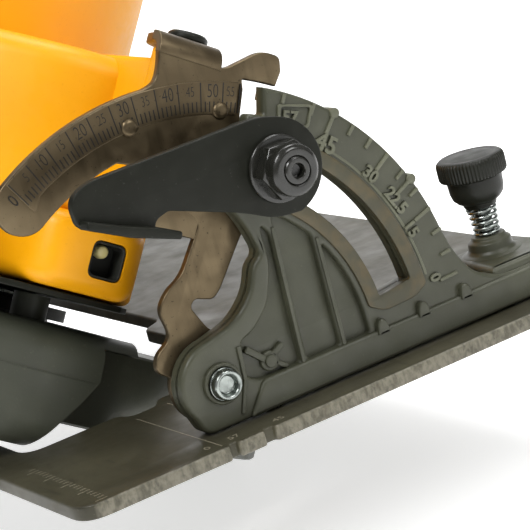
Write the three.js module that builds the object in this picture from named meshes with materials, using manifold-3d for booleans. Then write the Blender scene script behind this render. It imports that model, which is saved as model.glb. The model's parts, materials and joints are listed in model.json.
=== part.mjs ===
// A cordless circular saw with a 184 mm blade, set to its full 57 degree bevel.
// Millimetres, +Z up. The front of the saw faces -Y and the motor lies on the +X side.
// The origin is on the underside of the shoe, straight below the bevel pivot.
import * as THREE from 'three';
import { mergeVertices } from 'three/addons/utils/BufferGeometryUtils.js';
import Module from 'manifold-3d';

const wasm = await Module();
wasm.setup();

// ---- driving dimensions ----------------------------------------------------------------
const BEVEL = 57; // degrees between the saw's own upright and the shoe's
const GAP = 0.3; // between pieces that sit on each other
const RUNNING_GAP = 0.6; // between pieces that turn past each other

// shoe
const SHOE_THICKNESS = 4;
const PIVOT_ABOVE_SHOE = 11.9;
const SHOE_LEFT = -50.5;
const SHOE_RIGHT = 129.5;
const SHOE_FRONT = -11.8;
const SHOE_REAR = 290;
const SHOE_CORNER = 8;
const OPENING_LEFT = -38;
const OPENING_RIGHT = 34;
const OPENING_STEP = 7; // how much wider the opening is behind the step
const OPENING_STEP_Y = 119;
const OPENING_FRONT = 47;
const OPENING_REAR = 256;

// bevel quadrant on the shoe, about the bevel pivot
const QUADRANT_RADIUS = 75;
const QUADRANT_DEPTH = 6.2;
const SLOT_INNER = 50;
const SLOT_OUTER = 60.5;
const SLOT_START = 6; // degrees above the shoe
const SLOT_END = 71.5;
const RIVET_RADIUS = 4.2;
const HUB_RADIUS = 11.4;
const HUB_FACE = -1.2;
const BUTTON_CIRCLE = 68.2; // of the buttons on the front bracket, about the bevel pivot

// front bracket, a steel plate behind the quadrant
const PLATE_FRONT = QUADRANT_DEPTH + GAP;
const PLATE_THICKNESS = 2.6;
const PLATE_BACK = PLATE_FRONT + PLATE_THICKNESS;
const ARC_OUTER = 76;
const ARC_INNER = 61.3;
const STUD_RADIUS = 3.5;
const STUD_ANGLE = 10; // degrees about the bevel pivot, from the saw's own +X
const LEVER_PLATE_Y = -18; // front face of the bevel lever's plate
const LEVER_THICKNESS = 2.6;

// depth pivot across the front of the saw
const DEPTH_Y = 18;
const DEPTH_Z = 24;
const DEPTH_PIN_RADIUS = 3.5;
const EAR_RIGHT = 79;
const EAR_LEFT = 36;
const EAR_THICKNESS = 2.6;
const EAR_RADIUS = 10;
const BARREL_RADIUS = 8;
const ARM_ARC_RADIUS = 215; // of the depth slot, about the depth pivot
const DEPTH_TRAVEL = 26; // degrees

// blade and drive
const ARBOR_Y = 145;
const ARBOR_Z = 12;
const BLADE_X = -11.5;
const BLADE_RADIUS = 92;
const BLADE_PLATE = 1.8;
const TOOTH_COUNT = 24;
const TOOTH_HEIGHT = 5.5;
const SPINDLE_RADIUS = 7.5;
const GEAR_MODULE = 1.3;
const PINION_TEETH = 9;
const GEAR_TEETH = 27;
const MOTOR_BEARING_ANGLE = 115; // degrees, direction from the arbor to the motor shaft
const CENTRE_DISTANCE = GEAR_MODULE * (PINION_TEETH + GEAR_TEETH) / 2;
const MOTOR_Y = ARBOR_Y + CENTRE_DISTANCE * Math.cos(rad(MOTOR_BEARING_ANGLE));
const MOTOR_Z = ARBOR_Z + CENTRE_DISTANCE * Math.sin(rad(MOTOR_BEARING_ANGLE));
const SHAFT_RADIUS = 4;

// guards, about the arbor
const UPPER_OUTER = 101;
const UPPER_WALL = 2.4;
const UPPER_RIGHT = 4;
const UPPER_LEFT = -29;
const LOWER_OUTER = 96.6;
const LOWER_WALL = 1.6;
const LOWER_RIGHT = 1;
const LOWER_LEFT = -21;
const GUARD_HUB_RADIUS = 20;

// housings
const CASE_LEFT = 13;
const CASE_RIGHT = 75;
const CASE_WALL = 2.6;
const MOTOR_RADIUS = 46;
const MOTOR_END = 158;
const MOTOR_FLAT_Z = -8.5; // flattened underside of the motor housing
const HANDLE_MID = 36;
const HANDLE_HALF = 17;
const BATTERY_MID = 64;
const BATTERY_HALF = 37;
const BATTERY_TOP = 52;

// ---- helpers ---------------------------------------------------------------------------
function rad(degrees) {
  return degrees * Math.PI / 180;
}

function polar(radius, degrees, cx = 0, cy = 0) {
  return [cx + radius * Math.cos(rad(degrees)), cy + radius * Math.sin(rad(degrees))];
}

function arc(cx, cy, radius, from, to, steps) {
  const points = [];
  for (let i = 0; i <= steps; i += 1) {
    points.push(polar(radius, from + (to - from) * i / steps, cx, cy));
  }
  return points;
}

function shapeOf(points, holes = []) {
  const shape = new THREE.Shape(points.map(([a, b]) => new THREE.Vector2(a, b)));
  for (const hole of holes) {
    shape.holes.push(new THREE.Path(hole.map(([a, b]) => new THREE.Vector2(a, b))));
  }
  return shape;
}

// Polygon with each corner [a, b, radius] rounded by a short curve.
function rounded(corners, steps = 3) {
  const points = [];
  const count = corners.length;
  corners.forEach(([a, b, radius = 0], i) => {
    const before = corners[(i + count - 1) % count];
    const after = corners[(i + 1) % count];
    if (radius === 0) {
      points.push([a, b]);
      return;
    }
    const toBefore = Math.hypot(before[0] - a, before[1] - b);
    const toAfter = Math.hypot(after[0] - a, after[1] - b);
    const reach = Math.min(radius, toBefore * 0.49, toAfter * 0.49);
    const p = [a + (before[0] - a) * reach / toBefore, b + (before[1] - b) * reach / toBefore];
    const q = [a + (after[0] - a) * reach / toAfter, b + (after[1] - b) * reach / toAfter];
    for (let k = 0; k <= steps; k += 1) {
      const t = k / steps;
      const s = 1 - t;
      points.push([
        s * s * p[0] + 2 * s * t * a + t * t * q[0],
        s * s * p[1] + 2 * s * t * b + t * t * q[1],
      ]);
    }
  });
  return points;
}

function solid(geometry) {
  const bare = geometry.clone();
  bare.deleteAttribute('normal');
  bare.deleteAttribute('uv');
  const merged = mergeVertices(bare, 1e-4);
  return new wasm.Manifold(new wasm.Mesh({
    numProp: 3,
    vertProperties: merged.attributes.position.array,
    triVerts: merged.index.array,
  }));
}

function prism(shape, depth, bevel) {
  return new THREE.ExtrudeGeometry(shape, {
    depth: depth - 2 * bevel,
    bevelEnabled: bevel > 0,
    bevelSize: bevel,
    bevelOffset: -bevel,
    bevelThickness: bevel,
    bevelSegments: 1,
    curveSegments: 8,
  }).translate(0, 0, bevel);
}

const ALONG_X = new THREE.Matrix4().makeBasis(
  new THREE.Vector3(0, 1, 0), new THREE.Vector3(0, 0, 1), new THREE.Vector3(1, 0, 0));
const ALONG_Y = new THREE.Matrix4().makeRotationX(Math.PI / 2);

// Outline in (y, z), pushed along X from x0 to x1.
function pushX(shape, x0, x1, bevel = 0) {
  return solid(prism(shape, x1 - x0, bevel).applyMatrix4(ALONG_X).translate(x0, 0, 0));
}

// Outline in (x, z), pushed along Y from y0 to y1.
function pushY(shape, y0, y1, bevel = 0) {
  return solid(prism(shape, y1 - y0, bevel).applyMatrix4(ALONG_Y).translate(0, y1, 0));
}

// Outline in (x, y), pushed along Z from z0 to z1.
function pushZ(shape, z0, z1, bevel = 0) {
  return solid(prism(shape, z1 - z0, bevel).translate(0, 0, z0));
}

// The same corners moved inwards by a wall thickness, with their rounding kept concentric.
function inset(corners, wall) {
  const count = corners.length;
  return corners.map((corner, i) => {
    const before = corners[(i + count - 1) % count];
    const after = corners[(i + 1) % count];
    const lengthIn = Math.hypot(corner[0] - before[0], corner[1] - before[1]);
    const lengthOut = Math.hypot(after[0] - corner[0], after[1] - corner[1]);
    const a = [-(corner[1] - before[1]) / lengthIn, (corner[0] - before[0]) / lengthIn];
    const b = [-(after[1] - corner[1]) / lengthOut, (after[0] - corner[0]) / lengthOut];
    const reach = wall / (1 + a[0] * b[0] + a[1] * b[1]);
    const convex = a[0] * b[1] - a[1] * b[0] > 0;
    const radius = Math.max(corner[2] + (convex ? -wall : wall), 0.5);
    return [corner[0] + (a[0] + b[0]) * reach, corner[1] + (a[1] + b[1]) * reach, radius];
  });
}

// Rounded outline pushed along an axis, its edges at both ends rolled over by a few insets.
function pillow(corners, from, to, roll) {
  const levels = [0, 45, 90].map((turn) => {
    const inward = roll * (1 - Math.sin(rad(turn)));
    const along = roll * (1 - Math.cos(rad(turn)));
    return [rounded(inset(corners, inward), 2), from + along];
  });
  const mirrored = levels.map(([ring, at]) => [ring, from + to - at]).reverse();
  const rings = [...levels, ...mirrored];
  const count = rings[0][0].length;
  const positions = rings.flatMap(([ring, at]) => ring.flatMap(([a, b]) => [a, b, at]));
  const index = [];
  for (let level = 0; level + 1 < rings.length; level += 1) {
    for (let i = 0; i < count; i += 1) {
      const a = level * count + i;
      const b = level * count + (i + 1) % count;
      index.push(a, b, b + count, a, b + count, a + count);
    }
  }
  const ends = [[0, true], [rings.length - 1, false]];
  for (const [level, flip] of ends) {
    const contour = rings[level][0].map(([a, b]) => new THREE.Vector2(a, b));
    for (const [a, b, c] of THREE.ShapeUtils.triangulateShape(contour, [])) {
      const offset = level * count;
      index.push(...(flip ? [c + offset, b + offset, a + offset] : [a + offset, b + offset, c + offset]));
    }
  }
  const geometry = new THREE.BufferGeometry();
  geometry.setAttribute('position', new THREE.Float32BufferAttribute(positions, 3));
  geometry.setIndex(index);
  return geometry;
}

function pillowX(corners, x0, x1, roll) {
  return solid(pillow(corners, x0, x1, roll).applyMatrix4(ALONG_X));
}

function box(x0, x1, y0, y1, z0, z1) {
  return solid(new THREE.BoxGeometry(x1 - x0, y1 - y0, z1 - z0)
    .translate((x0 + x1) / 2, (y0 + y1) / 2, (z0 + z1) / 2));
}

function rodX(radius, x0, x1, y, z, sides = 20) {
  return solid(new THREE.CylinderGeometry(radius, radius, x1 - x0, sides)
    .rotateZ(-Math.PI / 2).translate((x0 + x1) / 2, y, z));
}

function rodY(radius, y0, y1, x, z, sides = 20) {
  return solid(new THREE.CylinderGeometry(radius, radius, y1 - y0, sides)
    .translate(x, (y0 + y1) / 2, z));
}

function rodZ(radius, z0, z1, x, y, sides = 20) {
  return solid(new THREE.CylinderGeometry(radius, radius, z1 - z0, sides)
    .rotateX(Math.PI / 2).translate(x, y, (z0 + z1) / 2));
}

// Turned piece: [radius, height] pairs that start and end on the axis.
function turned(profile, sides = 20) {
  return new THREE.LatheGeometry(profile.map(([r, h]) => new THREE.Vector2(r, h)), sides);
}

function turnedX(profile, y, z, sides = 20) {
  return solid(turned(profile, sides).rotateZ(-Math.PI / 2).translate(0, y, z));
}

function turnedY(profile, x, z, sides = 20) {
  return solid(turned(profile, sides).translate(x, 0, z));
}

function turnedZ(profile, x, y, sides = 20) {
  return solid(turned(profile, sides).rotateX(Math.PI / 2).translate(x, y, 0));
}

function ringX(inner, outer, x0, x1, y, z, sides = 20) {
  return rodX(outer, x0, x1, y, z, sides).subtract(rodX(inner, x0 - 1, x1 + 1, y, z, sides));
}

// Turn a solid about an axis along X through (y, z).
function spunX(body, degrees, y, z) {
  return body.translate([0, -y, -z]).rotate([degrees, 0, 0]).translate([0, y, z]);
}

function largest(body) {
  return body.decompose().reduce((a, b) => (a.volume() > b.volume() ? a : b));
}

function finish(colour, roughness, metalness) {
  return new THREE.MeshStandardMaterial({ color: colour, roughness, metalness });
}

const yellowShell = () => finish(0xe0a012, 0.45, 0);
const blackShell = () => finish(0x232320, 0.6, 0);
const softGrip = () => finish(0x1b1b1a, 0.85, 0);
const guardCoat = () => finish(0x4b4c3e, 0.5, 0.3);
const shoeCoat = () => finish(0x38352a, 0.5, 0.4);
const darkSteel = () => finish(0x575040, 0.45, 0.8);
const blackSteel = () => finish(0x2d2e28, 0.5, 0.5);
const brightSteel = () => finish(0xb4b6b4, 0.3, 1);
const copperWire = () => finish(0x9c5a2c, 0.4, 0.8);

function add(group, name, body, material) {
  const data = body.getMesh();
  const geometry = new THREE.BufferGeometry();
  geometry.setAttribute('position', new THREE.BufferAttribute(data.vertProperties, 3));
  geometry.setIndex(new THREE.BufferAttribute(data.triVerts, 1));
  geometry.computeVertexNormals();
  const mesh = new THREE.Mesh(geometry, material);
  mesh.name = name;
  group.add(mesh);
  return mesh;
}

// ---- groups ----------------------------------------------------------------------------
const saw = new THREE.Group();
const base = new THREE.Group();
base.position.z = SHOE_THICKNESS + PIVOT_ABOVE_SHOE;
saw.add(base);
const tilted = new THREE.Group();
tilted.rotation.y = -rad(BEVEL);
base.add(tilted);

const SHOE_TOP = -PIVOT_ABOVE_SHOE;
const SOLE = SHOE_TOP - SHOE_THICKNESS;

// ---- shoe ------------------------------------------------------------------------------
const NOTCH_DEPTH = 1.6;
const SIGHT_NOTCHES = [[-8.2, -5.2], [2, 5.6]]; // cut line sights in the front edge

function shoePlate() {
  const front = [[SHOE_LEFT, SHOE_FRONT, SHOE_CORNER]];
  for (const [from, to] of SIGHT_NOTCHES) {
    front.push([from, SHOE_FRONT], [from + 0.6, SHOE_FRONT + NOTCH_DEPTH]);
    front.push([to - 0.6, SHOE_FRONT + NOTCH_DEPTH], [to, SHOE_FRONT]);
  }
  const outline = rounded([
    ...front,
    [SHOE_RIGHT, SHOE_FRONT, SHOE_CORNER],
    [SHOE_RIGHT, SHOE_REAR, SHOE_CORNER],
    [SHOE_LEFT, SHOE_REAR, SHOE_CORNER],
  ]);
  const wide = OPENING_RIGHT + OPENING_STEP;
  const sightBay = 5;
  const opening = rounded([
    [OPENING_LEFT, OPENING_FRONT, 6],
    [SIGHT_NOTCHES[0][0] - 2, OPENING_FRONT, 2],
    [SIGHT_NOTCHES[0][0], OPENING_FRONT - sightBay, 2],
    [SIGHT_NOTCHES[1][0] - 3, OPENING_FRONT - sightBay, 2],
    [SIGHT_NOTCHES[1][0], OPENING_FRONT, 2],
    [OPENING_RIGHT, OPENING_FRONT, 6],
    [OPENING_RIGHT, OPENING_STEP_Y - 4, 2],
    [wide, OPENING_STEP_Y, 2],
    [wide, OPENING_REAR, 6],
    [OPENING_LEFT, OPENING_REAR, 6],
  ]);
  return pushZ(shapeOf(outline, [opening]), SOLE, SHOE_TOP, 0.5);
}

// ---- bevel quadrant --------------------------------------------------------------------
const FOOT_DEPTH = 26; // how far the casting's foot reaches behind its face
const FENCE_X = 97;
const FENCE_Y = 16.5;
const FENCE_BAR_WIDTH = 13;
const FENCE_BAR_HEIGHT = 4;
const BOSS_TOP = 4.6;
const BOSS_RADIUS = 4.9;
const FENCE_SCREW_RADIUS = 2.6;
const QUADRANT_TOP_ANGLE = 64;
const LAND_MARGIN = 4.2; // of the worn land around the slot
const GROOVE_DEPTH = 1.3; // behind the casting, where the bracket's buttons pass
const POCKET_DEPTH = 2.2;
const FOOT_RIGHT = 112;

function annularSector(inner, outer, from, to, steps) {
  return [...arc(0, 0, outer, from, to, steps), ...arc(0, 0, inner, to, from, steps)];
}

function bevelQuadrant() {
  const rimStart = -7;
  const outline = rounded([
    [-7.4, SHOE_TOP + GAP, 2],
      [FOOT_RIGHT, SHOE_TOP + GAP, 1],
      [FOOT_RIGHT, SHOE_TOP + 6.5, 3],
      [77.5, SHOE_TOP + 6.5, 2],
    ...arc(0, 0, QUADRANT_RADIUS, rimStart + 3, QUADRANT_TOP_ANGLE, 24),
    [30.9, 60.6, 1],
      [26.6, 62.6, 1.5],
      [25.2, 59.3, 0.5],
      [15.5, 59.5, 2.5],
      [12.6, 52, 3],
      [13.2, 45, 3],
      [18.2, 36, 4],
      [20.4, 27.5, 2],
      [17.1, 25.3, 2],
      [14.7, 19.2, 4],
      [8.5, 13.7, 4],
    ...arc(0, 0, HUB_RADIUS, 95, 215, 8),
  ]);
  let body = pushY(shapeOf(outline), 0, QUADRANT_DEPTH);
  const land = annularSector(
    SLOT_INNER - LAND_MARGIN, SLOT_OUTER + LAND_MARGIN, 1.5, QUADRANT_TOP_ANGLE + 5, 16);
  body = body.add(pushY(shapeOf(land), -0.8, QUADRANT_DEPTH - 1));
  body = body.add(rodY(HUB_RADIUS - 2.6, HUB_FACE, 1, 0, 0, 28));
  for (const [x0, x1, z0] of [[25, 35.2, -5.6], [37.8, 46, -4]]) {
    const reach = SLOT_INNER - LAND_MARGIN - 1.5;
    const top0 = Math.sqrt(reach * reach - x0 * x0);
    const top1 = Math.sqrt(Math.max(reach * reach - x1 * x1, 4));
    const pocket = rounded([[x0, z0, 1.2], [x1, z0, 1.2], [x1, top1, 1], [x0, top0, 1]]);
    body = body.subtract(pushY(shapeOf(pocket), -2, POCKET_DEPTH));
  }
  const hubPocket = rounded([
    [12.5, -5, 1.5], [22, -5, 1.5], [22, 36, 2], [20.4, 35, 2], [21.8, 24, 2], [16.4, 17, 2], [11, 8, 2],
  ]);
  body = body.subtract(pushY(shapeOf(hubPocket), -2, POCKET_DEPTH));
  body = body.add(rodY(2.3, 1, POCKET_DEPTH + 1, 16.5, -1, 16));
  const ledge = box(47, FOOT_RIGHT - 3, -1.2, 1, SHOE_TOP + 5.4, SHOE_TOP + 9.6);
  body = body.add(ledge.intersect(pushY(shapeOf(annularSector(1, 74.4, -20, 30, 8)), -3, 3)));
  for (const x of [48.7, 61.5]) {
    body = body.add(box(x - 1, x + 1, -2.2, 1, SHOE_TOP + 4.4, SHOE_TOP + 10.8));
  }
  const slot = annularSector(SLOT_INNER, SLOT_OUTER, SLOT_START, SLOT_END, 20);
  body = body.subtract(pushY(shapeOf(slot), -3, QUADRANT_DEPTH + 3));
  const groove = annularSector(BUTTON_CIRCLE - 3, BUTTON_CIRCLE + 3, 10, 80, 16);
  body = body.subtract(pushY(shapeOf(groove), QUADRANT_DEPTH - GROOVE_DEPTH, QUADRANT_DEPTH + 3));
  body = body.add(box(8, FOOT_RIGHT, 1, 5, SHOE_TOP + GAP, SHOE_TOP + 4));
  body = body.add(fenceBoss());
  body = body.subtract(rodY(RIVET_RADIUS + 0.15, -3, QUADRANT_DEPTH + 1, 0, 0));
  for (const [x, y] of QUADRANT_SCREWS) {
    body = body.subtract(rodZ(SCREW_RADIUS + 0.15, SHOE_TOP - 1, SHOE_TOP + SCREW_REACH, x, y, 16));
  }
  return body;
}

function fenceBoss() {
  const halfBar = FENCE_BAR_WIDTH / 2;
  let boss = box(FENCE_X - 9, FENCE_X + 9, 2, FOOT_DEPTH, SHOE_TOP + GAP, -0.5);
  boss = boss.add(rodZ(BOSS_RADIUS + 1.6, -1, 2.2, FENCE_X, FENCE_Y));
  boss = boss.add(rodZ(BOSS_RADIUS, 2, BOSS_TOP, FENCE_X, FENCE_Y));
  boss = boss.subtract(box(FENCE_X - 20, FENCE_X + 20, FENCE_Y - halfBar, FENCE_Y + halfBar,
    SHOE_TOP - 1, SHOE_TOP + GAP + FENCE_BAR_HEIGHT));
  return boss.subtract(rodZ(FENCE_SCREW_RADIUS + 0.15, SHOE_TOP, BOSS_TOP + 1, FENCE_X, FENCE_Y));
}

// ---- screws that hold the two castings on the shoe --------------------------------------
const SCREW_RADIUS = 2;
const SCREW_REACH = 6;
const QUADRANT_SCREWS = [[FENCE_X + 6.3, 6], [14, 3.2]];
const REAR_EAR_Y = 262;
const REAR_EAR_THICKNESS = 6;
const REAR_SCREWS = [[-9, REAR_EAR_Y + 12], [9, REAR_EAR_Y + 12]];

function shoeScrew(x, y) {
  const headRadius = SCREW_RADIUS * 1.9;
  const profile = [
    [0, SOLE + 0.2], [headRadius, SOLE + 0.2], [SCREW_RADIUS, SOLE + 2.2],
    [SCREW_RADIUS, SHOE_TOP + SCREW_REACH - 0.5], [0, SHOE_TOP + SCREW_REACH - 0.5],
  ];
  return turnedZ(profile, x, y, 16);
}

function screwHole(x, y) {
  const wide = SCREW_RADIUS * 1.9 + 0.2;
  const tight = SCREW_RADIUS + 0.15;
  const profile = [
    [0, SOLE - 1], [wide + 0.6, SOLE - 1], [wide, SOLE + 0.15], [tight, SOLE + 2.4],
    [tight, SHOE_TOP + 1], [0, SHOE_TOP + 1],
  ];
  return turnedZ(profile, x, y, 16);
}

// ---- rear pivot ear on the shoe ---------------------------------------------------------
function rearEar() {
  const outline = rounded([
    [-15, SHOE_TOP + GAP, 1], [15, SHOE_TOP + GAP, 1], [14, SHOE_TOP + 4, 2],
    ...arc(0, 0, 10.5, 0, 180, 12),
    [-14, SHOE_TOP + 4],
  ]);
  let body = pushY(shapeOf(outline), REAR_EAR_Y, REAR_EAR_Y + REAR_EAR_THICKNESS, 0.5);
  body = body.add(box(-15, 15, REAR_EAR_Y + 1, REAR_EAR_Y + 18, SHOE_TOP + GAP, SHOE_TOP + 4));
  for (const x of [-11, 11]) {
    body = body.add(pushX(shapeOf([
      [REAR_EAR_Y + 3, SHOE_TOP + 3], [REAR_EAR_Y + 17, SHOE_TOP + 3], [REAR_EAR_Y + 4, -1],
    ]), x - 1.2, x + 1.2));
  }
  body = body.subtract(rodY(RIVET_RADIUS + 0.15, REAR_EAR_Y - 2, REAR_EAR_Y + 20, 0, 0));
  for (const [x, y] of REAR_SCREWS) {
    body = body.subtract(rodZ(SCREW_RADIUS + 0.15, SHOE_TOP - 1, SHOE_TOP + SCREW_REACH, x, y, 16));
  }
  return body;
}

// Rivet along Y with a dished head at the front and a closed tail behind.
function pivotRivet(front, headBack, tailFront, back) {
  const head = RIVET_RADIUS + 0.5;
  const dish = 2.9;
  return turnedY([
    [0, front + 1.3], [dish - 0.6, front + 1.1], [dish, front + 0.2], [dish + 0.6, front],
    [head - 0.5, front], [head, front + 0.5], [head, headBack], [RIVET_RADIUS, headBack + 0.01],
    [RIVET_RADIUS, tailFront], [head + 1, tailFront + 0.01], [head + 1, back], [0, back],
  ], 0, 0, 18);
}

// ---- fence knob ------------------------------------------------------------------------
const KNOB_RADIUS = 9.5;
const KNOB_TOP = 27.3;
const KNOB_FLUTES = 24;

// Fluted knob moulded on its clamping screw.
function fenceKnob() {
  const bandLow = KNOB_TOP - 5.4;
  const flutes = [];
  for (let i = 0; i < KNOB_FLUTES * 2; i += 1) {
    flutes.push(polar(i % 2 === 0 ? KNOB_RADIUS : KNOB_RADIUS - 0.45, i * 180 / KNOB_FLUTES));
  }
  let body = pushZ(shapeOf(flutes), bandLow, KNOB_TOP - 0.9);
  body = body.add(turnedZ([
    [0, 12.6], [4.2, 12.6], [4.2, 15.2], [5.2, 15.4], [7.2, 19.2], [7.5, 22.5], [KNOB_RADIUS - 0.8, 22.5],
    [KNOB_RADIUS - 0.8, KNOB_TOP - 1], [KNOB_RADIUS - 1.8, KNOB_TOP], [0, KNOB_TOP],
  ], 0, 0));
  const foot = SHOE_TOP + GAP + FENCE_BAR_HEIGHT + 0.4;
  body = body.add(rodZ(FENCE_SCREW_RADIUS - 0.1, foot, 13, 0, 0, 16));
  return body.translate([FENCE_X, FENCE_Y, 0]);
}

// Round wire coil about an axis along Z, its ends ground by the first and last turns.
function coil(radius, wire, low, high, turns) {
  class Helix extends THREE.Curve {
    getPoint(t, target = new THREE.Vector3()) {
      const angle = t * turns * 2 * Math.PI;
      return target.set(radius * Math.cos(angle), radius * Math.sin(angle), low + (high - low) * t);
    }
  }
  const section = shapeOf(arc(0, 0, wire, 0, 288, 4));
  return solid(new THREE.ExtrudeGeometry(section, {
    steps: Math.round(turns * 10), bevelEnabled: false, extrudePath: new Helix(),
  }));
}

// ---- front bracket, turning with the saw about the bevel pivot ---------------------------
const TAB_LOW = 18.5;
const TAB_HIGH = 36;
const FINGER_OUTER = 84;
const STUD = polar((SLOT_INNER + SLOT_OUTER) / 2, STUD_ANGLE);
const BUTTONS = [polar(BUTTON_CIRCLE, 35.3), polar(BUTTON_CIRCLE, 13.5)];

function frontBracket() {
  const outline = rounded([
    ...arc(0, 0, 11, 100, 350, 12),
    [13, 4.6, 1], [16.6, 10.3, 3], [18.9, 9.8, 2], [20, 4.4, 2], [23, 3.3, 2],
      [38.5, 1.2, 3], [46, -1.5, 3], [62, -2.2, 4], [66.4, 4, 2],
    polar(67, 8.5), polar(74, 8.5),
    [...polar(76.6, 9), 2.5],
    ...arc(0, 0, ARC_OUTER + 0.4, 8, 1.6, 3),
    [FINGER_OUTER - 3.6, 1.6, 0.5], [FINGER_OUTER, 3, 1.5], [FINGER_OUTER, 8.5, 3],
      [77.5, TAB_LOW - 2, 3],
    [EAR_RIGHT + 0.5, TAB_LOW], [EAR_RIGHT + 0.5, TAB_HIGH],
    [70.5, TAB_HIGH + 1.5, 4],
    ...arc(0, 0, ARC_OUTER, 31, 64, 12),
    ...arc(...polar(68.6, 64), 7.35, 66, 240, 8),
    ...arc(0, 0, ARC_INNER, 63, 41, 8),
    [47, 36.1, 2], [44.5, 32, 3], [40.5, 22, 3], [38.2, 13.6, 3], [23.6, 15, 5],
      [18.6, 18.2, 4], [13.6, 18.8, 3], [8.2, 13.4, 3], [2.5, 16.3, 2], [-1.5, 15.2, 2],
  ]);
  let body = pushY(shapeOf(outline), PLATE_FRONT, PLATE_BACK);
  body = body.add(frontEar(EAR_RIGHT, TAB_LOW, TAB_HIGH));
  body = body.add(frontEar(EAR_LEFT - EAR_THICKNESS, DEPTH_Z - 10, DEPTH_Z + 10)
    .add(box(EAR_LEFT - EAR_THICKNESS, 42, PLATE_FRONT + 0.4, PLATE_BACK - 0.2, 14, 34)));
  body = body.subtract(rodY(RIVET_RADIUS + 0.15, 0, 20, 0, 0));
  body = body.subtract(rodY(STUD_RADIUS + 0.1, 0, 20, ...STUD));
  body = body.subtract(rodY(1.6, 0, 20, 50.4, 26.4, 12));
  for (const [x, z] of BUTTONS) {
    body = body.subtract(rodY(BUTTON_RADIUS + 0.1, 0, 20, x, z, 16));
  }
  return body.subtract(rodX(DEPTH_PIN_RADIUS + 0.15, 0, 100, DEPTH_Y, DEPTH_Z));
}

// Ear bent back from the plate, rounded about the depth pin.
function frontEar(x, low, high) {
  const outline = rounded([
    [PLATE_FRONT + 0.4, low], [DEPTH_Y, DEPTH_Z - EAR_RADIUS + 0.5],
    ...arc(DEPTH_Y, DEPTH_Z, EAR_RADIUS, -70, 70, 8),
    [DEPTH_Y, DEPTH_Z + EAR_RADIUS], [PLATE_FRONT + 0.4, high],
  ]);
  return pushX(shapeOf(outline), x, x + EAR_THICKNESS);
}

const BUTTON_RADIUS = 2.3;

function bracketButton([x, z]) {
  return turnedY([
    [0, PLATE_FRONT - 0.9], [1.6, PLATE_FRONT - 0.8], [BUTTON_RADIUS - 0.3, PLATE_FRONT - 0.3],
    [BUTTON_RADIUS, PLATE_FRONT + 0.2], [BUTTON_RADIUS, PLATE_BACK], [0, PLATE_BACK],
  ], x, z, 16);
}

function depthPin() {
  const left = EAR_LEFT - EAR_THICKNESS - 1.6;
  const right = EAR_RIGHT + EAR_THICKNESS;
  return turnedX([
    [0, left], [DEPTH_PIN_RADIUS, left], [DEPTH_PIN_RADIUS, right + GAP],
    [5.2, right + GAP + 0.01], [5.2, right + 1.6], [4, right + 2.4], [0, right + 2.4],
  ], DEPTH_Y, DEPTH_Z);
}

// ---- bevel clamp ------------------------------------------------------------------------
const WASHER_RADIUS = 11;
const LEVER_BACK = LEVER_PLATE_Y + LEVER_THICKNESS;
const NUT_BACK = LEVER_PLATE_Y - GAP;
const NUT_FRONT = NUT_BACK - 9;

function bevelStud() {
  const tip = NUT_FRONT - 0.4;
  let body = turnedY([
    [0, tip], [STUD_RADIUS - 0.4, tip], [STUD_RADIUS, tip + 0.5], [STUD_RADIUS, PLATE_BACK + GAP],
    [7, PLATE_BACK + GAP + 0.01], [7, PLATE_BACK + 3], [5.5, PLATE_BACK + 4], [0, PLATE_BACK + 4],
  ], ...STUD);
  const socket = new THREE.CylinderGeometry(1.9, 1.9, 4, 6).translate(STUD[0], tip, STUD[1]);
  body = body.subtract(solid(socket));
  return body;
}

function bevelWasher() {
  const front = LEVER_BACK + GAP;
  const back = -0.8 - GAP;
  let body = turnedY([
    [0, front], [7.5, front], [7.5, back - 3], [WASHER_RADIUS, back - 2.99], [WASHER_RADIUS, back], [0, back],
  ], ...STUD);
  return body.subtract(rodY(STUD_RADIUS + 0.15, -40, 10, ...STUD));
}

const LEVER_HOLE = 5.2;
const LIP_DEPTH = 4.5;

// Flat pressed lever: a round end on the nut, a long plate and a lip folded along its lower edge.
function bevelLever() {
  const outline = rounded([
    [-50, 13.3, 5], [-55.6, 10.5, 4], [-55.2, 3.6, 2], [-44.7, -1.4, 2], [-36.6, -4.6, 1],
    [-35.4, -1.2, 1.4], [-31.5, -0.1, 1], [-12, -7.4, 5], [-4, -11.6, 4],
    ...arc(0, 0, 12.6, -75, 70, 9),
    [-2, 13.8, 4],
  ]);
  let body = pushY(shapeOf(outline), LEVER_PLATE_Y, LEVER_BACK);
  const lip = pushY(shapeOf([
    [-55, 3.4], [-44.7, -2], [-32, -6.8], [-31.4, -5], [-36.6, -2.2], [-44, 0.6], [-54.4, 5.4],
  ]), LEVER_PLATE_Y - LIP_DEPTH, LEVER_PLATE_Y + 1.2);
  body = body.add(lip);
  const hex = new THREE.CylinderGeometry(LEVER_HOLE, LEVER_HOLE, 20, 6).translate(0, LEVER_PLATE_Y, 0);
  return body.subtract(solid(hex)).rotate([0, BEVEL, 0]).translate([STUD[0], 0, STUD[1]]);
}

// Locking nut whose hexagon fills the lever's hole and whose collar stands in front of it.
function leverNut() {
  const bore = rodY(STUD_RADIUS + 0.1, -60, 20, 0, 0);
  const neck = new THREE.CylinderGeometry(LEVER_HOLE - 0.15, LEVER_HOLE - 0.15, 4, 6)
    .translate(0, LEVER_BACK - 2 - 0.2, 0);
  const hexagon = new THREE.CylinderGeometry(7.6, 7.6, 5, 6).translate(0, NUT_BACK - 2.5, 0);
  const collar = turned([
    [0, NUT_FRONT], [5.4, NUT_FRONT], [6.4, NUT_FRONT + 0.8], [6.6, NUT_BACK - 4.5], [0, NUT_BACK - 4.5],
  ]);
  return solid(neck).add(solid(hexagon)).add(solid(collar)).subtract(bore)
    .rotate([0, BEVEL, 0]).translate([STUD[0], 0, STUD[1]]);
}

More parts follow.
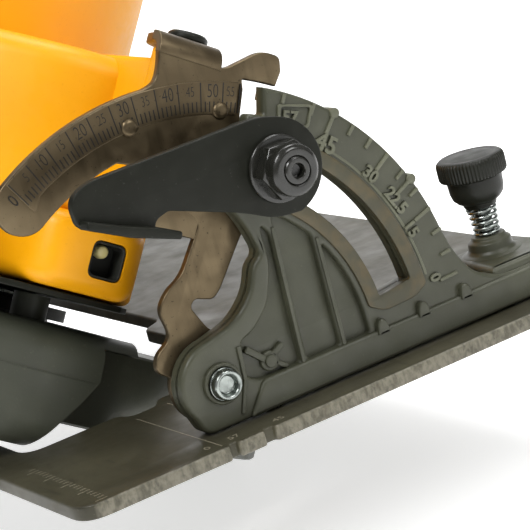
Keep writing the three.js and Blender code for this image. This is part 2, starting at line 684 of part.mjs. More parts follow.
// ---- rear bracket and depth arm -----------------------------------------------------------
const ARM_X = 11.5;
const ARM_THICKNESS = 2.6;
const ARM_HALF_WIDTH = 8;
const CLAMP_ANGLE = -4; // degrees, direction from the depth pivot to the clamp at full depth
const CLAMP_BOLT_RADIUS = 3;
const CLAMP = polar(ARM_ARC_RADIUS, CLAMP_ANGLE, DEPTH_Y, DEPTH_Z);
const REAR_BRACKET_BACK = REAR_EAR_Y - GAP;
const REAR_BRACKET_FRONT = REAR_BRACKET_BACK - 2.6;

function rearBracket() {
  const right = ARM_X - GAP;
  const outline = rounded([
    ...arc(0, 0, 10.3, 110, 330, 10),
    [right, -2, 1], [right, 34, 4], [right - 9, 34, 4],
  ]);
  let body = pushY(shapeOf(outline), REAR_BRACKET_FRONT, REAR_BRACKET_BACK);
  const flange = rounded([
    [REAR_BRACKET_FRONT + 0.5, 5, 1], [REAR_BRACKET_FRONT + 0.5, 34, 3], [REAR_BRACKET_FRONT - 12, 34, 3],
    [REAR_BRACKET_FRONT - 12, 5, 3],
  ]);
  body = body.add(pushX(shapeOf(flange), right - 2.6, right));
  body = body.subtract(rodY(RIVET_RADIUS + 0.15, REAR_EAR_Y - 20, REAR_EAR_Y + 20, 0, 0));
  for (const z of ARM_RIVETS) {
    body = body.subtract(rodX(2.1, right - 4, right + 1, REAR_BRACKET_FRONT - 6, z, 16));
  }
  return body;
}

const ARM_RIVETS = [12, 27];

function depthArm() {
  const inner = ARM_ARC_RADIUS - ARM_HALF_WIDTH;
  const outer = ARM_ARC_RADIUS + ARM_HALF_WIDTH;
  const low = CLAMP_ANGLE - 3;
  const high = CLAMP_ANGLE + DEPTH_TRAVEL + 3;
  const outline = rounded([
    ...arc(DEPTH_Y, DEPTH_Z, inner, high, low, 12),
    [...polar(outer, low, DEPTH_Y, DEPTH_Z), 2], [REAR_BRACKET_FRONT - 1, 6, 3],
      [REAR_BRACKET_FRONT - 1, 32, 4], [...polar(outer, 3.5, DEPTH_Y, DEPTH_Z), 3],
    ...arc(DEPTH_Y, DEPTH_Z, outer, 4, high, 10),
  ]);
  const half = CLAMP_BOLT_RADIUS + 0.3;
  const slot = [
    ...arc(DEPTH_Y, DEPTH_Z, ARM_ARC_RADIUS + half, CLAMP_ANGLE - 1, CLAMP_ANGLE + DEPTH_TRAVEL + 1, 12),
    ...arc(DEPTH_Y, DEPTH_Z, ARM_ARC_RADIUS - half, CLAMP_ANGLE + DEPTH_TRAVEL + 1, CLAMP_ANGLE - 1, 12),
  ];
  const plate = pushX(shapeOf(outline, [slot]), ARM_X, ARM_X + ARM_THICKNESS);
  let body = plate;
  for (const z of ARM_RIVETS) {
    const shank = rodX(1.9, ARM_X - GAP - 3, ARM_X + 1, REAR_BRACKET_FRONT - 6, z, 16);
    const head = rodX(3.2, ARM_X - GAP - 3.8, ARM_X - GAP - 2.8, REAR_BRACKET_FRONT - 6, z, 16);
    body = body.add(shank).add(head);
    body = body.add(rodX(3.2, ARM_X + 1, ARM_X + ARM_THICKNESS + 1.2, REAR_BRACKET_FRONT - 6, z, 16));
  }
  return body;
}

function depthClamp() {
  const [y, z] = CLAMP;
  const seat = ARM_X + ARM_THICKNESS + GAP;
  return turnedX([
    [0, ARM_X - 4.6], [CLAMP_BOLT_RADIUS, ARM_X - 4.6], [CLAMP_BOLT_RADIUS, seat],
    [6.5, seat + 0.01], [6.5, LUG_LEFT - GAP], [CLAMP_BOLT_RADIUS, LUG_LEFT - GAP + 0.01],
    [CLAMP_BOLT_RADIUS, LUG_LEFT + 4], [0, LUG_LEFT + 4],
  ], y, z);
}

const LUG_LEFT = 17.5;

function depthLever() {
  const [y, z] = CLAMP;
  const right = ARM_X - GAP;
  const outline = rounded([
    ...arc(y, z, 7.5, 110, 330, 8),
    [y + 13, z + 4, 4], [y + 21, z + 9, 3], [y + 22, z + 15, 3], [y + 17, z + 19, 4],
      [y + 8, z + 11, 5],
  ]);
  const hub = rodX(7, right - 6, right, y, z);
  const blade = pushX(shapeOf(outline), right - 6.6, right - 4.2, 0.4);
  return hub.add(blade).subtract(rodX(CLAMP_BOLT_RADIUS + 0.15, 0, 40, y, z));
}

// ---- guards -----------------------------------------------------------------------------
const HUB_HOLE = 29;
const GUARD_BOSSES = [[75, 50], [90, 70], [66, 26]];
const LOWER_FROM = 172; // degrees about the arbor, 180 is the front
const LOWER_TO = 352;

function disc(radius, steps = 40) {
  return shapeOf(arc(ARBOR_Y, ARBOR_Z, radius, 0, 360 - 360 / steps, steps - 1));
}

function upperGuard() {
  let body = pushX(disc(UPPER_OUTER, 48), UPPER_LEFT, UPPER_RIGHT, 5);
  body = body.subtract(pushX(disc(UPPER_OUTER - UPPER_WALL, 48), UPPER_LEFT + UPPER_WALL,
    UPPER_RIGHT - UPPER_WALL, 2.4));
  // the lower edge rises from the inner wall to the outer one, which clears the shoe at full bevel
  const trim = shapeOf([[40, -30], [40, -300], [-90, -300], [-90, 80], [UPPER_RIGHT, -4]]);
  body = body.subtract(pushY(trim, 0, 300));
  body = body.add(rodX(34, UPPER_RIGHT - UPPER_WALL, UPPER_RIGHT, ARBOR_Y, ARBOR_Z, 24));
  body = body.subtract(rodX(HUB_HOLE, -5, 20, ARBOR_Y, ARBOR_Z, 24));
  for (const [y, z] of GUARD_BOSSES) {
    body = body.add(rodX(5, UPPER_RIGHT - 1, PLATE_LEFT - GAP, y, z, 16));
  }
  return body.subtract(rodX(12.5, UPPER_LEFT - 5, UPPER_LEFT + 6, DUST_Y, DUST_Z));
}

const DUST_Y = 196;
const DUST_Z = 70;

function dustPort() {
  const seat = UPPER_LEFT - GAP;
  let body = turnedX([
    [0, seat - 22], [16, seat - 22], [16, seat - 20], [15, seat - 19], [15, seat - 3], [19, seat - 2.9],
    [19, seat], [0, seat],
  ], DUST_Y, DUST_Z);
  return body.subtract(rodX(12.5, seat - 30, seat + 5, DUST_Y, DUST_Z));
}

function lowerGuard() {
  const hub = 27;
  const sector = shapeOf([
    ...arc(ARBOR_Y, ARBOR_Z, LOWER_OUTER, LOWER_FROM, LOWER_TO, 32),
    ...arc(ARBOR_Y, ARBOR_Z, hub, LOWER_TO, LOWER_TO + 180, 14),
  ]);
  let body = pushX(sector, LOWER_LEFT, LOWER_RIGHT, 0.6);
  body = body.subtract(pushX(disc(LOWER_OUTER - LOWER_WALL), LOWER_LEFT + LOWER_WALL,
    LOWER_RIGHT - LOWER_WALL));
  body = body.subtract(rodX(58, LOWER_LEFT - 1, LOWER_LEFT + LOWER_WALL + 1, ARBOR_Y, ARBOR_Z, 32));
  body = body.add(rodX(hub, LOWER_RIGHT - LOWER_WALL, 8.2, ARBOR_Y, ARBOR_Z, 24));
  return body.subtract(rodX(GUARD_HUB_RADIUS + GAP, -6, 20, ARBOR_Y, ARBOR_Z, 24));
}

const LEVER_REST = 20; // degrees about the arbor

function guardLever() {
  const inner = 27 + GAP;
  const collar = ringX(inner, inner + 4.5, UPPER_RIGHT + RUNNING_GAP, 8.2, ARBOR_Y, ARBOR_Z, 24);
  const arm = pushX(shapeOf(rounded([
    [ARBOR_Y + inner + 1, ARBOR_Z - 7], [ARBOR_Y + 96, ARBOR_Z - 5, 3], [ARBOR_Y + 108, ARBOR_Z - 8, 4],
    [ARBOR_Y + 110, ARBOR_Z + 4, 4], [ARBOR_Y + 98, ARBOR_Z + 5, 3], [ARBOR_Y + inner + 1, ARBOR_Z + 7],
  ])), UPPER_RIGHT + RUNNING_GAP, 8.2, 0.5);
  const body = collar.add(arm).subtract(rodX(inner, 0, 12, ARBOR_Y, ARBOR_Z, 24));
  return spunX(body, LEVER_REST, ARBOR_Y, ARBOR_Z);
}

function guardSpring() {
  return coil(GUARD_HUB_RADIUS + 2.2, 0.7, 9.1, 10.2, 1.4).rotate([0, 90, 0])
    .translate([0, ARBOR_Y, ARBOR_Z]);
}

// ---- blade, spindle and gears -----------------------------------------------------------
const FLANGE_BORE = SPINDLE_RADIUS + 0.3;
const BOLT_RADIUS = 4;

function blade() {
  const points = [];
  const step = 360 / TOOTH_COUNT;
  for (let i = 0; i < TOOTH_COUNT; i += 1) {
    const a = i * step;
    points.push(polar(BLADE_RADIUS, a, ARBOR_Y, ARBOR_Z));
    points.push(polar(BLADE_RADIUS - 1.2, a + step * 0.22, ARBOR_Y, ARBOR_Z));
    points.push(polar(BLADE_RADIUS - TOOTH_HEIGHT * 0.6, a + step * 0.62, ARBOR_Y, ARBOR_Z));
    points.push(polar(BLADE_RADIUS - TOOTH_HEIGHT * 1.6, a + step * 0.8, ARBOR_Y, ARBOR_Z));
    points.push(polar(BLADE_RADIUS - TOOTH_HEIGHT * 1.3, a + step * 0.94, ARBOR_Y, ARBOR_Z));
  }
  const bore = arc(ARBOR_Y, ARBOR_Z, FLANGE_BORE, 0, 345, 23);
  return pushX(shapeOf(points, [bore]), BLADE_X - BLADE_PLATE / 2, BLADE_X + BLADE_PLATE / 2);
}

function innerFlange() {
  const left = BLADE_X + BLADE_PLATE / 2 + GAP;
  const body = turnedX([
    [0, left], [20, left], [20, left + 2.4], [13, left + 3], [12, left + 7], [0, left + 7],
  ], ARBOR_Y, ARBOR_Z);
  return body.subtract(rodX(FLANGE_BORE, -30, 20, ARBOR_Y, ARBOR_Z));
}

function outerFlange() {
  const right = BLADE_X - BLADE_PLATE / 2 - GAP;
  const body = turnedX([
    [0, right - 2.6], [11, right - 2.6], [16, right - 1.6], [16, right], [0, right],
  ], ARBOR_Y, ARBOR_Z);
  return body.subtract(rodX(BOLT_RADIUS + 0.3, -30, 20, ARBOR_Y, ARBOR_Z));
}

function bladeBolt() {
  const seat = BLADE_X - BLADE_PLATE / 2 - GAP - 2.6 - GAP;
  const head = solid(new THREE.CylinderGeometry(6.6, 6.6, 4, 6).rotateZ(Math.PI / 2)
    .translate(seat - 2.6, ARBOR_Y, ARBOR_Z));
  const rest = turnedX([
    [0, seat - 1], [7.4, seat - 1], [7.4, seat], [BOLT_RADIUS, seat + 0.01], [BOLT_RADIUS, -3], [0, -3],
  ], ARBOR_Y, ARBOR_Z);
  return head.add(rest);
}

function spindle() {
  const left = BLADE_X - BLADE_PLATE / 2 + 0.2;
  const body = turnedX([
    [0, left], [SPINDLE_RADIUS, left], [SPINDLE_RADIUS, 28], [5, 28.5], [5, 38], [0, 38],
  ], ARBOR_Y, ARBOR_Z);
  return body.subtract(rodX(BOLT_RADIUS + 0.3, -30, -1, ARBOR_Y, ARBOR_Z));
}

// Outline of a spur gear whose first tooth points at the given angle.
function gearPoints(teeth, y, z, angle) {
  const pitch = GEAR_MODULE * teeth / 2;
  const root = pitch - GEAR_MODULE * 1.15;
  const tip = pitch + GEAR_MODULE * 0.8;
  const turn = 360 / teeth;
  const points = [];
  for (let i = 0; i < teeth; i += 1) {
    const a = angle + i * turn;
    points.push(polar(root, a - turn * 0.25, y, z), polar(tip, a - turn * 0.08, y, z));
    points.push(polar(tip, a + turn * 0.08, y, z), polar(root, a + turn * 0.25, y, z));
  }
  return points;
}

const GEAR_LEFT = 15.5;
const GEAR_WIDTH = 9;

function driveGear() {
  const teeth = gearPoints(GEAR_TEETH, ARBOR_Y, ARBOR_Z, MOTOR_BEARING_ANGLE);
  const bore = arc(ARBOR_Y, ARBOR_Z, FLANGE_BORE, 0, 345, 23);
  return pushX(shapeOf(teeth, [bore]), GEAR_LEFT, GEAR_LEFT + GEAR_WIDTH);
}

function motorShaft() {
  const gapAngle = MOTOR_BEARING_ANGLE + 180 + 180 / PINION_TEETH;
  const teeth = gearPoints(PINION_TEETH, MOTOR_Y, MOTOR_Z, gapAngle);
  const pinion = pushX(shapeOf(teeth), GEAR_LEFT - 0.5, GEAR_LEFT + GEAR_WIDTH + 0.5);
  return pinion.add(rodX(SHAFT_RADIUS, GEAR_LEFT - 0.5, MOTOR_END - 8, MOTOR_Y, MOTOR_Z));
}

const ROTOR_FROM = 92;
const ROTOR_TO = 120;
const ROTOR_RADIUS = 20;
const SLOT_COUNT = 12;

function statorCore() {
  let body = ringX(ROTOR_RADIUS + 1, MOTOR_RADIUS - CASE_WALL - GAP, ROTOR_FROM - 3, ROTOR_TO + 3,
    MOTOR_Y, MOTOR_Z, 36);
  const flat = MOTOR_FLAT_Z + CASE_WALL + GAP;
  body = body.subtract(box(0, 300, 0, 300, flat - 60, flat));
  for (let i = 0; i < SLOT_COUNT; i += 1) {
    const [y, z] = polar(29, i * 360 / SLOT_COUNT, MOTOR_Y, MOTOR_Z);
    body = body.subtract(rodX(3.6, ROTOR_FROM - 10, ROTOR_TO + 10, y, z, 6));
  }
  return body;
}

function coolingFan() {
  let body = ringX(SHAFT_RADIUS + 0.15, 34, 64, 66, MOTOR_Y, MOTOR_Z)
    .add(ringX(SHAFT_RADIUS + 0.15, 9, 64, 73, MOTOR_Y, MOTOR_Z));
  const vanes = 11;
  for (let i = 0; i < vanes; i += 1) {
    const vane = box(65, 73, MOTOR_Y + 14, MOTOR_Y + 33, MOTOR_Z - 0.8, MOTOR_Z + 0.8);
    body = body.add(spunX(vane, i * 360 / vanes, MOTOR_Y, MOTOR_Z));
  }
  return body;
}

// ---- gear case --------------------------------------------------------------------------
const PLATE_LEFT = 11;
const PLATE_RIGHT = CASE_LEFT - GAP;
const WEB_LEFT = 30;
const WEB_RIGHT = 33;
const NOSE_FRONT = 30;
const NOSE_RIGHT = 31;
const NOSE_LEFT = CASE_LEFT + 0.4;
const WINDOW = { left: 18, right: 28, low: 19.5, high: 29.5 };

const CASE_OUTLINE = [
  [34, 13, 6], [62, -2, 14], [118, -7, 14], [145, -10.4, 16], [170, -6, 14], [187, 14, 12],
  [190, 62, 12], [180, 84, 12], [88, 84, 14], [54, 70, 10], [36, 44, 8],
];

function gearCase() {
  const inside = rounded(inset(CASE_OUTLINE, CASE_WALL), 2);
  let body = pillowX(CASE_OUTLINE, CASE_LEFT, CASE_RIGHT, 4);
  body = body.add(pillowX([
    [NOSE_FRONT, 14, 7], [60, 6, 4], [60, 50, 4], [NOSE_FRONT, 42, 9],
  ], NOSE_LEFT, NOSE_RIGHT, 3));
  const barrel = rodX(BARREL_RADIUS, EAR_LEFT + GAP, EAR_RIGHT - GAP, DEPTH_Y, DEPTH_Z)
    .add(box(EAR_LEFT + GAP + 4, EAR_RIGHT - GAP - 8, DEPTH_Y, 50, DEPTH_Z - 6, DEPTH_Z + 7));
  body = body.add(barrel);
  body = body.subtract(pushX(shapeOf(inside), CASE_LEFT - 5, WEB_LEFT));
  body = body.subtract(pushX(shapeOf(inside), WEB_RIGHT, CASE_RIGHT - CASE_WALL));
  const mouth = motorOutline(MOTOR_RADIUS - CASE_WALL, MOTOR_FLAT_Z + CASE_WALL);
  body = body.subtract(pushX(shapeOf(mouth), CASE_RIGHT - CASE_WALL - 1, CASE_RIGHT + 1));
  body = body.add(rodX(12, WEB_LEFT, 41, MOTOR_Y, MOTOR_Z));
  body = body.add(rodX(11.5, WEB_LEFT, 39, ARBOR_Y, ARBOR_Z));
  body = body.subtract(rodX(9.2, WEB_LEFT + 1, 38, ARBOR_Y, ARBOR_Z));
  body = body.subtract(rodX(5.4, 20, 34, ARBOR_Y, ARBOR_Z));
  body = body.subtract(rodX(9.2, WEB_LEFT + 2.5, 42, MOTOR_Y, MOTOR_Z));
  body = body.subtract(rodX(SHAFT_RADIUS + 0.5, 20, 42, MOTOR_Y, MOTOR_Z));
  body = body.subtract(rodX(DEPTH_PIN_RADIUS + 0.15, 30, 90, DEPTH_Y, DEPTH_Z));
  const lug = pushX(shapeOf(rounded([
    [184, -1, 2], [CLAMP[0] + 4, CLAMP[1] - 9, 5], [CLAMP[0] + 9, CLAMP[1], 5],
    [CLAMP[0] + 4, CLAMP[1] + 9, 5], [186.5, 40, 2],
  ])), LUG_LEFT, LUG_LEFT + 6, 0.6);
  body = body.add(lug.subtract(pushX(shapeOf(inside), 0, 90)));
  body = body.subtract(rodX(CLAMP_BOLT_RADIUS + 0.15, 0, 40, ...CLAMP));
  body = body.subtract(box(WINDOW.left, WINDOW.right, NOSE_FRONT - 1, NOSE_FRONT + 7, WINDOW.low,
    WINDOW.high));
  body = body.subtract(rodY(LOCK_RADIUS + 0.3, 180, 195, LOCK_X, LOCK_Z));
  return body;
}

function gearcasePlate() {
  const outline = rounded(inset(CASE_OUTLINE, 1), 2);
  let body = pushX(shapeOf(outline), PLATE_LEFT, PLATE_RIGHT);
  body = body.add(rodX(GUARD_HUB_RADIUS, -1, PLATE_LEFT + 1, ARBOR_Y, ARBOR_Z, 24));
  return body.subtract(rodX(13.2, -5, 20, ARBOR_Y, ARBOR_Z));
}

function lampBezel() {
  const body = box(WINDOW.left + GAP, WINDOW.right - GAP, NOSE_FRONT - 0.6, NOSE_FRONT + 6.6,
    WINDOW.low + GAP, WINDOW.high - GAP);
  return body.subtract(box(WINDOW.left + 1.6, WINDOW.right - 1.6, NOSE_FRONT - 3, NOSE_FRONT + 4.5,
    WINDOW.low + 1.6, WINDOW.high - 1.6));
}

function lampLens() {
  const x = (WINDOW.left + WINDOW.right) / 2;
  const z = (WINDOW.low + WINDOW.high) / 2;
  return turnedY([
    [0, NOSE_FRONT + 1.4], [1.4, NOSE_FRONT + 1.8], [2.3, NOSE_FRONT + 2.8], [2.3, NOSE_FRONT + 4.2],
    [0, NOSE_FRONT + 4.2],
  ], x, z, 16);
}

const LOCK_X = 21;
const LOCK_Z = 49;
const LOCK_RADIUS = 5;
const LOCK_TRAVEL = 4;

function spindleLock() {
  return turnedY([
    [0, 181], [LOCK_RADIUS, 181], [LOCK_RADIUS, 190.6 + LOCK_TRAVEL], [LOCK_RADIUS - 1, 191.6 + LOCK_TRAVEL],
    [0, 192 + LOCK_TRAVEL],
  ], LOCK_X, LOCK_Z, 20);
}

// ---- motor housing ----------------------------------------------------------------------
function motorOutline(radius, flat) {
  const half = Math.acos((MOTOR_Z - flat) / radius) * 180 / Math.PI;
  return arc(MOTOR_Y, MOTOR_Z, radius, -90 + half, 270 - half, 28);
}

const CAP_LEFT = MOTOR_END - 12;

function motorHousing() {
  const left = CASE_RIGHT + GAP;
  let body = pushX(shapeOf(motorOutline(MOTOR_RADIUS, MOTOR_FLAT_Z)), left, CAP_LEFT - GAP, 1);
  const wall = MOTOR_RADIUS - CASE_WALL;
  return body.subtract(pushX(shapeOf(motorOutline(wall, MOTOR_FLAT_Z + CASE_WALL)), 60, 200));
}

function motorCap() {
  const wall = MOTOR_RADIUS - CASE_WALL;
  let body = pushX(shapeOf(motorOutline(MOTOR_RADIUS, MOTOR_FLAT_Z)), CAP_LEFT, MOTOR_END, 5);
  body = body.add(pushX(shapeOf(motorOutline(MOTOR_RADIUS, MOTOR_FLAT_Z)), CAP_LEFT, MOTOR_END - 5));
  body = body.subtract(pushX(shapeOf(motorOutline(wall, MOTOR_FLAT_Z + CASE_WALL)), CAP_LEFT - 5,
    MOTOR_END - CASE_WALL));
  body = body.add(rodX(12, CAP_LEFT + 0.5, MOTOR_END - 1, MOTOR_Y, MOTOR_Z));
  body = body.subtract(rodX(9.2, CAP_LEFT - 1, MOTOR_END - 4, MOTOR_Y, MOTOR_Z));
  for (let i = -3; i <= 3; i += 1) {
    const z = MOTOR_Z + 8 + i * 7;
    for (const side of [-1, 1]) {
      const near = MOTOR_Y + side * 16;
      const far = MOTOR_Y + side * 34;
      body = body.subtract(box(CAP_LEFT + 6, MOTOR_END + 1, Math.min(near, far), Math.max(near, far),
        z - 1.5, z + 1.5));
    }
  }
  return body;
}

function bearing(inner, outer, x0, x1, y, z) {
  return ringX(inner, outer, x0, x1, y, z);
}

// ---- handle -----------------------------------------------------------------------------
const HANDLE_WALL = 3;
const HANDLE_OUTER = [
  [190, 84.4, 5], [193, 58, 10], [295, 58, 12], [292, 90, 16], [256, 112, 22], [198, 138, 22],
  [130, 148, 16], [94, 138, 18], [84, 104, 14], [96, 84.4, 12],
];
const HANDLE_HOLE = [
  [128, 97, 6], [150, 96, 10], [196, 84, 10], [236, 80, 6], [244, 88, 6], [194, 109, 20], [134, 119, 10],
  [122, 106, 8],
];
const GRIP_FROM = 182;
const GRIP_TO = 240;
const GRIP_SKIN = 1.6;
const TRIGGER_HALF = 6.5;

function handleSolid(shrink, roll) {
  const hole = rounded(inset(HANDLE_HOLE, -shrink));
  const body = pillowX(inset(HANDLE_OUTER, shrink), HANDLE_MID - HANDLE_HALF + shrink,
    HANDLE_MID + HANDLE_HALF - shrink, roll);
  return body.subtract(pushX(shapeOf(hole), 0, 90));
}

function gripRegion(margin) {
  return pushX(shapeOf([
    [GRIP_FROM + margin, 96], [GRIP_TO - 26, 96], [GRIP_TO - margin, 87], [GRIP_TO - margin, 160],
    [GRIP_FROM + margin, 160],
  ]), 0, 90);
}

const HANDLE_SCREWS = [[276, 70], [108, 132]];
const HANDLE_SCREW_RADIUS = 1.8;

function handleBody() {
  const full = handleSolid(0, 7);
  const core = handleSolid(GRIP_SKIN, 6).intersect(gripRegion(0));
  let body = full.subtract(gripRegion(0)).add(core);
  let cavity = handleSolid(HANDLE_WALL + GRIP_SKIN, 3);
  for (const [y, z] of HANDLE_SCREWS) {
    cavity = cavity.subtract(rodX(5, 0, 90, y, z, 16));
  }
  body = body.subtract(cavity);
  body = body.subtract(box(HANDLE_MID - TRIGGER_HALF - 0.5, HANDLE_MID + TRIGGER_HALF + 0.5, 136, 177, 100, 133));
  body = body.subtract(rodX(LOCK_OFF_RADIUS + 0.3, 0, 90, LOCK_OFF_Y, LOCK_OFF_Z, 20));
  const left = HANDLE_MID - HANDLE_HALF;
  for (const [y, z] of HANDLE_SCREWS) {
    body = body.subtract(rodX(HANDLE_SCREW_RADIUS + 0.15, left - 5, HANDLE_MID + 9, y, z, 12));
    body = body.subtract(rodX(3.4, left - 5, left + 4, y, z, 16));
  }
  return body;
}

const LOCK_OFF_Y = 152;
const LOCK_OFF_Z = 139.5;
const LOCK_OFF_RADIUS = 3.4;

function handleShell(side) {
  const near = HANDLE_MID + side * GAP / 2;
  const far = HANDLE_MID + side * 60;
  const half = box(Math.min(near, far), Math.max(near, far), 0, 400, -100, 300);
  return largest(handleBody().intersect(half));
}

function handleScrew([y, z]) {
  const left = HANDLE_MID - HANDLE_HALF;
  return turnedX([
    [0, left + 1.6], [3, left + 1.6], [3, left + 3.7], [HANDLE_SCREW_RADIUS, left + 3.71],
    [HANDLE_SCREW_RADIUS, HANDLE_MID + 8], [0, HANDLE_MID + 8],
  ], y, z, 12);
}

function handleGrip() {
  return handleSolid(0, 7).intersect(gripRegion(GAP)).subtract(handleSolid(GRIP_SKIN - GAP, 6));
}

function trigger() {
  return pillowX([
    [139, 116, 4], [150, 107, 8], [168, 106, 5], [175, 122, 4], [160, 127, 3], [138, 126, 3],
  ], HANDLE_MID - TRIGGER_HALF, HANDLE_MID + TRIGGER_HALF, 1.5);
}

function lockOff() {
  return rodX(LOCK_OFF_RADIUS, HANDLE_MID - HANDLE_HALF - 4, HANDLE_MID + HANDLE_HALF + 4, LOCK_OFF_Y,
    LOCK_OFF_Z, 20);
}

function frontHandle() {
  return pillowX([
    [96, 84.6, 8], [90, 98, 8], [80, 108, 10], [78, 128, 12], [54, 128, 12], [48, 104, 12], [54, 84.6, 10],
  ], 10, 68, 6).subtract(handleSolid(-GAP, 7));
}

// ---- battery ----------------------------------------------------------------------------
const BATTERY_FRONT = 196;
const BATTERY_REAR = 300;
const BATTERY_LOW = -7;
const BATTERY_BODY_TOP = 40;
const NECK_HALF = 20;
const HEAD_HALF = 24;
const LATCH_TRAVEL = 3;

function batteryMount() {
  const top = 57.7;
  const outer = HEAD_HALF + 4;
  let body = box(BATTERY_MID - 34, BATTERY_MID + 34, 194, 286, 50.6, top);
  for (const side of [-1, 1]) {
    const rail = side * (HEAD_HALF + 0.5);
    const lip = side * (NECK_HALF + 0.5);
    body = body.add(box(Math.min(BATTERY_MID + rail, BATTERY_MID + side * outer),
      Math.max(BATTERY_MID + rail, BATTERY_MID + side * outer), 198, 284, 41, 52));
    body = body.add(box(Math.min(BATTERY_MID + lip, BATTERY_MID + side * outer),
      Math.max(BATTERY_MID + lip, BATTERY_MID + side * outer), 198, 284, 41, 45.4));
  }
  return body;
}

function batteryPack() {
  let body = solid(pillow([
    [BATTERY_MID - BATTERY_HALF, BATTERY_FRONT, 6], [BATTERY_MID + BATTERY_HALF, BATTERY_FRONT, 6],
    [BATTERY_MID + BATTERY_HALF, BATTERY_REAR, 9], [BATTERY_MID - BATTERY_HALF, BATTERY_REAR, 9],
  ], BATTERY_LOW, BATTERY_BODY_TOP, 3));
  body = body.add(box(BATTERY_MID - NECK_HALF, BATTERY_MID + NECK_HALF, 202, 285, 36, 50));
  body = body.add(box(BATTERY_MID - HEAD_HALF, BATTERY_MID + HEAD_HALF, 202, 285, 46, 50));
  return body.subtract(box(BATTERY_MID - 9, BATTERY_MID + 9, 287, 297, 28, 60));
}

function batteryLatch() {
  return box(BATTERY_MID - 8.6, BATTERY_MID + 8.6, 287.4, 296.6, 31.4, 45);
}

// ---- assembly ---------------------------------------------------------------------------
let shoe = shoePlate();
for (const [x, y] of [...QUADRANT_SCREWS, ...REAR_SCREWS]) {
  shoe = shoe.subtract(screwHole(x, y));
}
add(base, 'shoe_plate', shoe, shoeCoat());
add(base, 'bevel_quadrant', bevelQuadrant(), guardCoat());
QUADRANT_SCREWS.forEach(([x, y], i) => add(base, `quadrant_screw_${i + 1}`, shoeScrew(x, y), brightSteel()));
add(base, 'rear_pivot_ear', rearEar(), guardCoat());
REAR_SCREWS.forEach(([x, y], i) => add(base, `rear_ear_screw_${i + 1}`, shoeScrew(x, y), brightSteel()));
add(base, 'front_pivot_rivet', pivotRivet(HUB_FACE - 2.7, HUB_FACE - GAP, PLATE_BACK + GAP, PLATE_BACK + 1.6),
  brightSteel());
add(base, 'rear_pivot_rivet', pivotRivet(REAR_BRACKET_FRONT - 2.4, REAR_BRACKET_FRONT - GAP,
  REAR_EAR_Y + REAR_EAR_THICKNESS + GAP, REAR_EAR_Y + REAR_EAR_THICKNESS + 2), brightSteel());
add(base, 'fence_knob', fenceKnob(), blackShell());
add(base, 'fence_spring', coil(3.4, 0.5, BOSS_TOP + 0.8, 11.8, 5).translate([FENCE_X, FENCE_Y, 0]),
  brightSteel());

add(tilted, 'front_bracket', frontBracket(), darkSteel());
BUTTONS.forEach((place, i) => add(tilted, `bracket_button_${i + 1}`, bracketButton(place), darkSteel()));
add(tilted, 'depth_pivot_pin', depthPin(), blackSteel());
add(tilted, 'bevel_stud', bevelStud(), blackSteel());
add(tilted, 'bevel_washer', bevelWasher(), blackSteel());
add(tilted, 'bevel_lever', bevelLever(), blackSteel());
add(tilted, 'lever_nut', leverNut(), blackSteel());
add(tilted, 'rear_bracket', rearBracket(), darkSteel());
add(tilted, 'depth_arm', depthArm(), darkSteel());

add(tilted, 'upper_guard', upperGuard(), guardCoat());
add(tilted, 'dust_port', dustPort(), blackShell());
add(tilted, 'lower_guard', lowerGuard(), guardCoat());
add(tilted, 'guard_lever', guardLever(), blackShell());
add(tilted, 'guard_spring', guardSpring(), brightSteel());
add(tilted, 'blade', blade(), brightSteel());
add(tilted, 'inner_flange', innerFlange(), brightSteel());
add(tilted, 'outer_flange', outerFlange(), brightSteel());
add(tilted, 'blade_bolt', bladeBolt(), blackSteel());
add(tilted, 'spindle', spindle(), brightSteel());
add(tilted, 'drive_gear', driveGear(), brightSteel());
add(tilted, 'spindle_bearing_front', bearing(SPINDLE_RADIUS + 0.2, 13, 0, 9, ARBOR_Y, ARBOR_Z), brightSteel());
add(tilted, 'spindle_bearing_rear', bearing(5.2, 9, WEB_LEFT + 1.3, 37.7, ARBOR_Y, ARBOR_Z), brightSteel());
add(tilted, 'motor_shaft', motorShaft(), brightSteel());
add(tilted, 'rotor_core', bearing(SHAFT_RADIUS + 0.15, ROTOR_RADIUS, ROTOR_FROM, ROTOR_TO, MOTOR_Y, MOTOR_Z),
  brightSteel());
add(tilted, 'stator_core', statorCore(), copperWire());
add(tilted, 'cooling_fan', coolingFan(), blackShell());
add(tilted, 'motor_bearing_front', bearing(SHAFT_RADIUS + 0.15, 9, WEB_LEFT + 2.8, 40.5, MOTOR_Y, MOTOR_Z),
  brightSteel());
add(tilted, 'motor_bearing_rear', bearing(SHAFT_RADIUS + 0.15, 9, CAP_LEFT + 0.5, CAP_LEFT + 7, MOTOR_Y, MOTOR_Z),
  brightSteel());
add(tilted, 'gear_case', gearCase(), yellowShell());
add(tilted, 'gearcase_plate', gearcasePlate(), blackSteel());
add(tilted, 'lamp_bezel', lampBezel(), blackShell());
add(tilted, 'lamp_lens', lampLens(), finish(0xe8e0b0, 0.15, 0));
add(tilted, 'spindle_lock_button', spindleLock(), blackShell());
add(tilted, 'motor_housing', motorHousing(), yellowShell());
add(tilted, 'motor_cap', motorCap(), blackShell());
add(tilted, 'handle_left', handleShell(1), yellowShell());
add(tilted, 'handle_right', handleShell(-1), yellowShell());
HANDLE_SCREWS.forEach((place, i) => add(tilted, `handle_screw_${i + 1}`, handleScrew(place), brightSteel()));
add(tilted, 'handle_grip', handleGrip(), softGrip());
add(tilted, 'trigger', trigger(), blackShell());
add(tilted, 'lock_off_button', lockOff(), blackShell());
add(tilted, 'front_handle', frontHandle(), softGrip());
add(tilted, 'depth_clamp_bolt', depthClamp(), brightSteel());
add(tilted, 'depth_lever', depthLever(), blackShell());
add(tilted, 'battery_mount', batteryMount(), blackShell());
add(tilted, 'battery_pack', batteryPack(), blackShell());
add(tilted, 'battery_latch', batteryLatch(), blackShell());

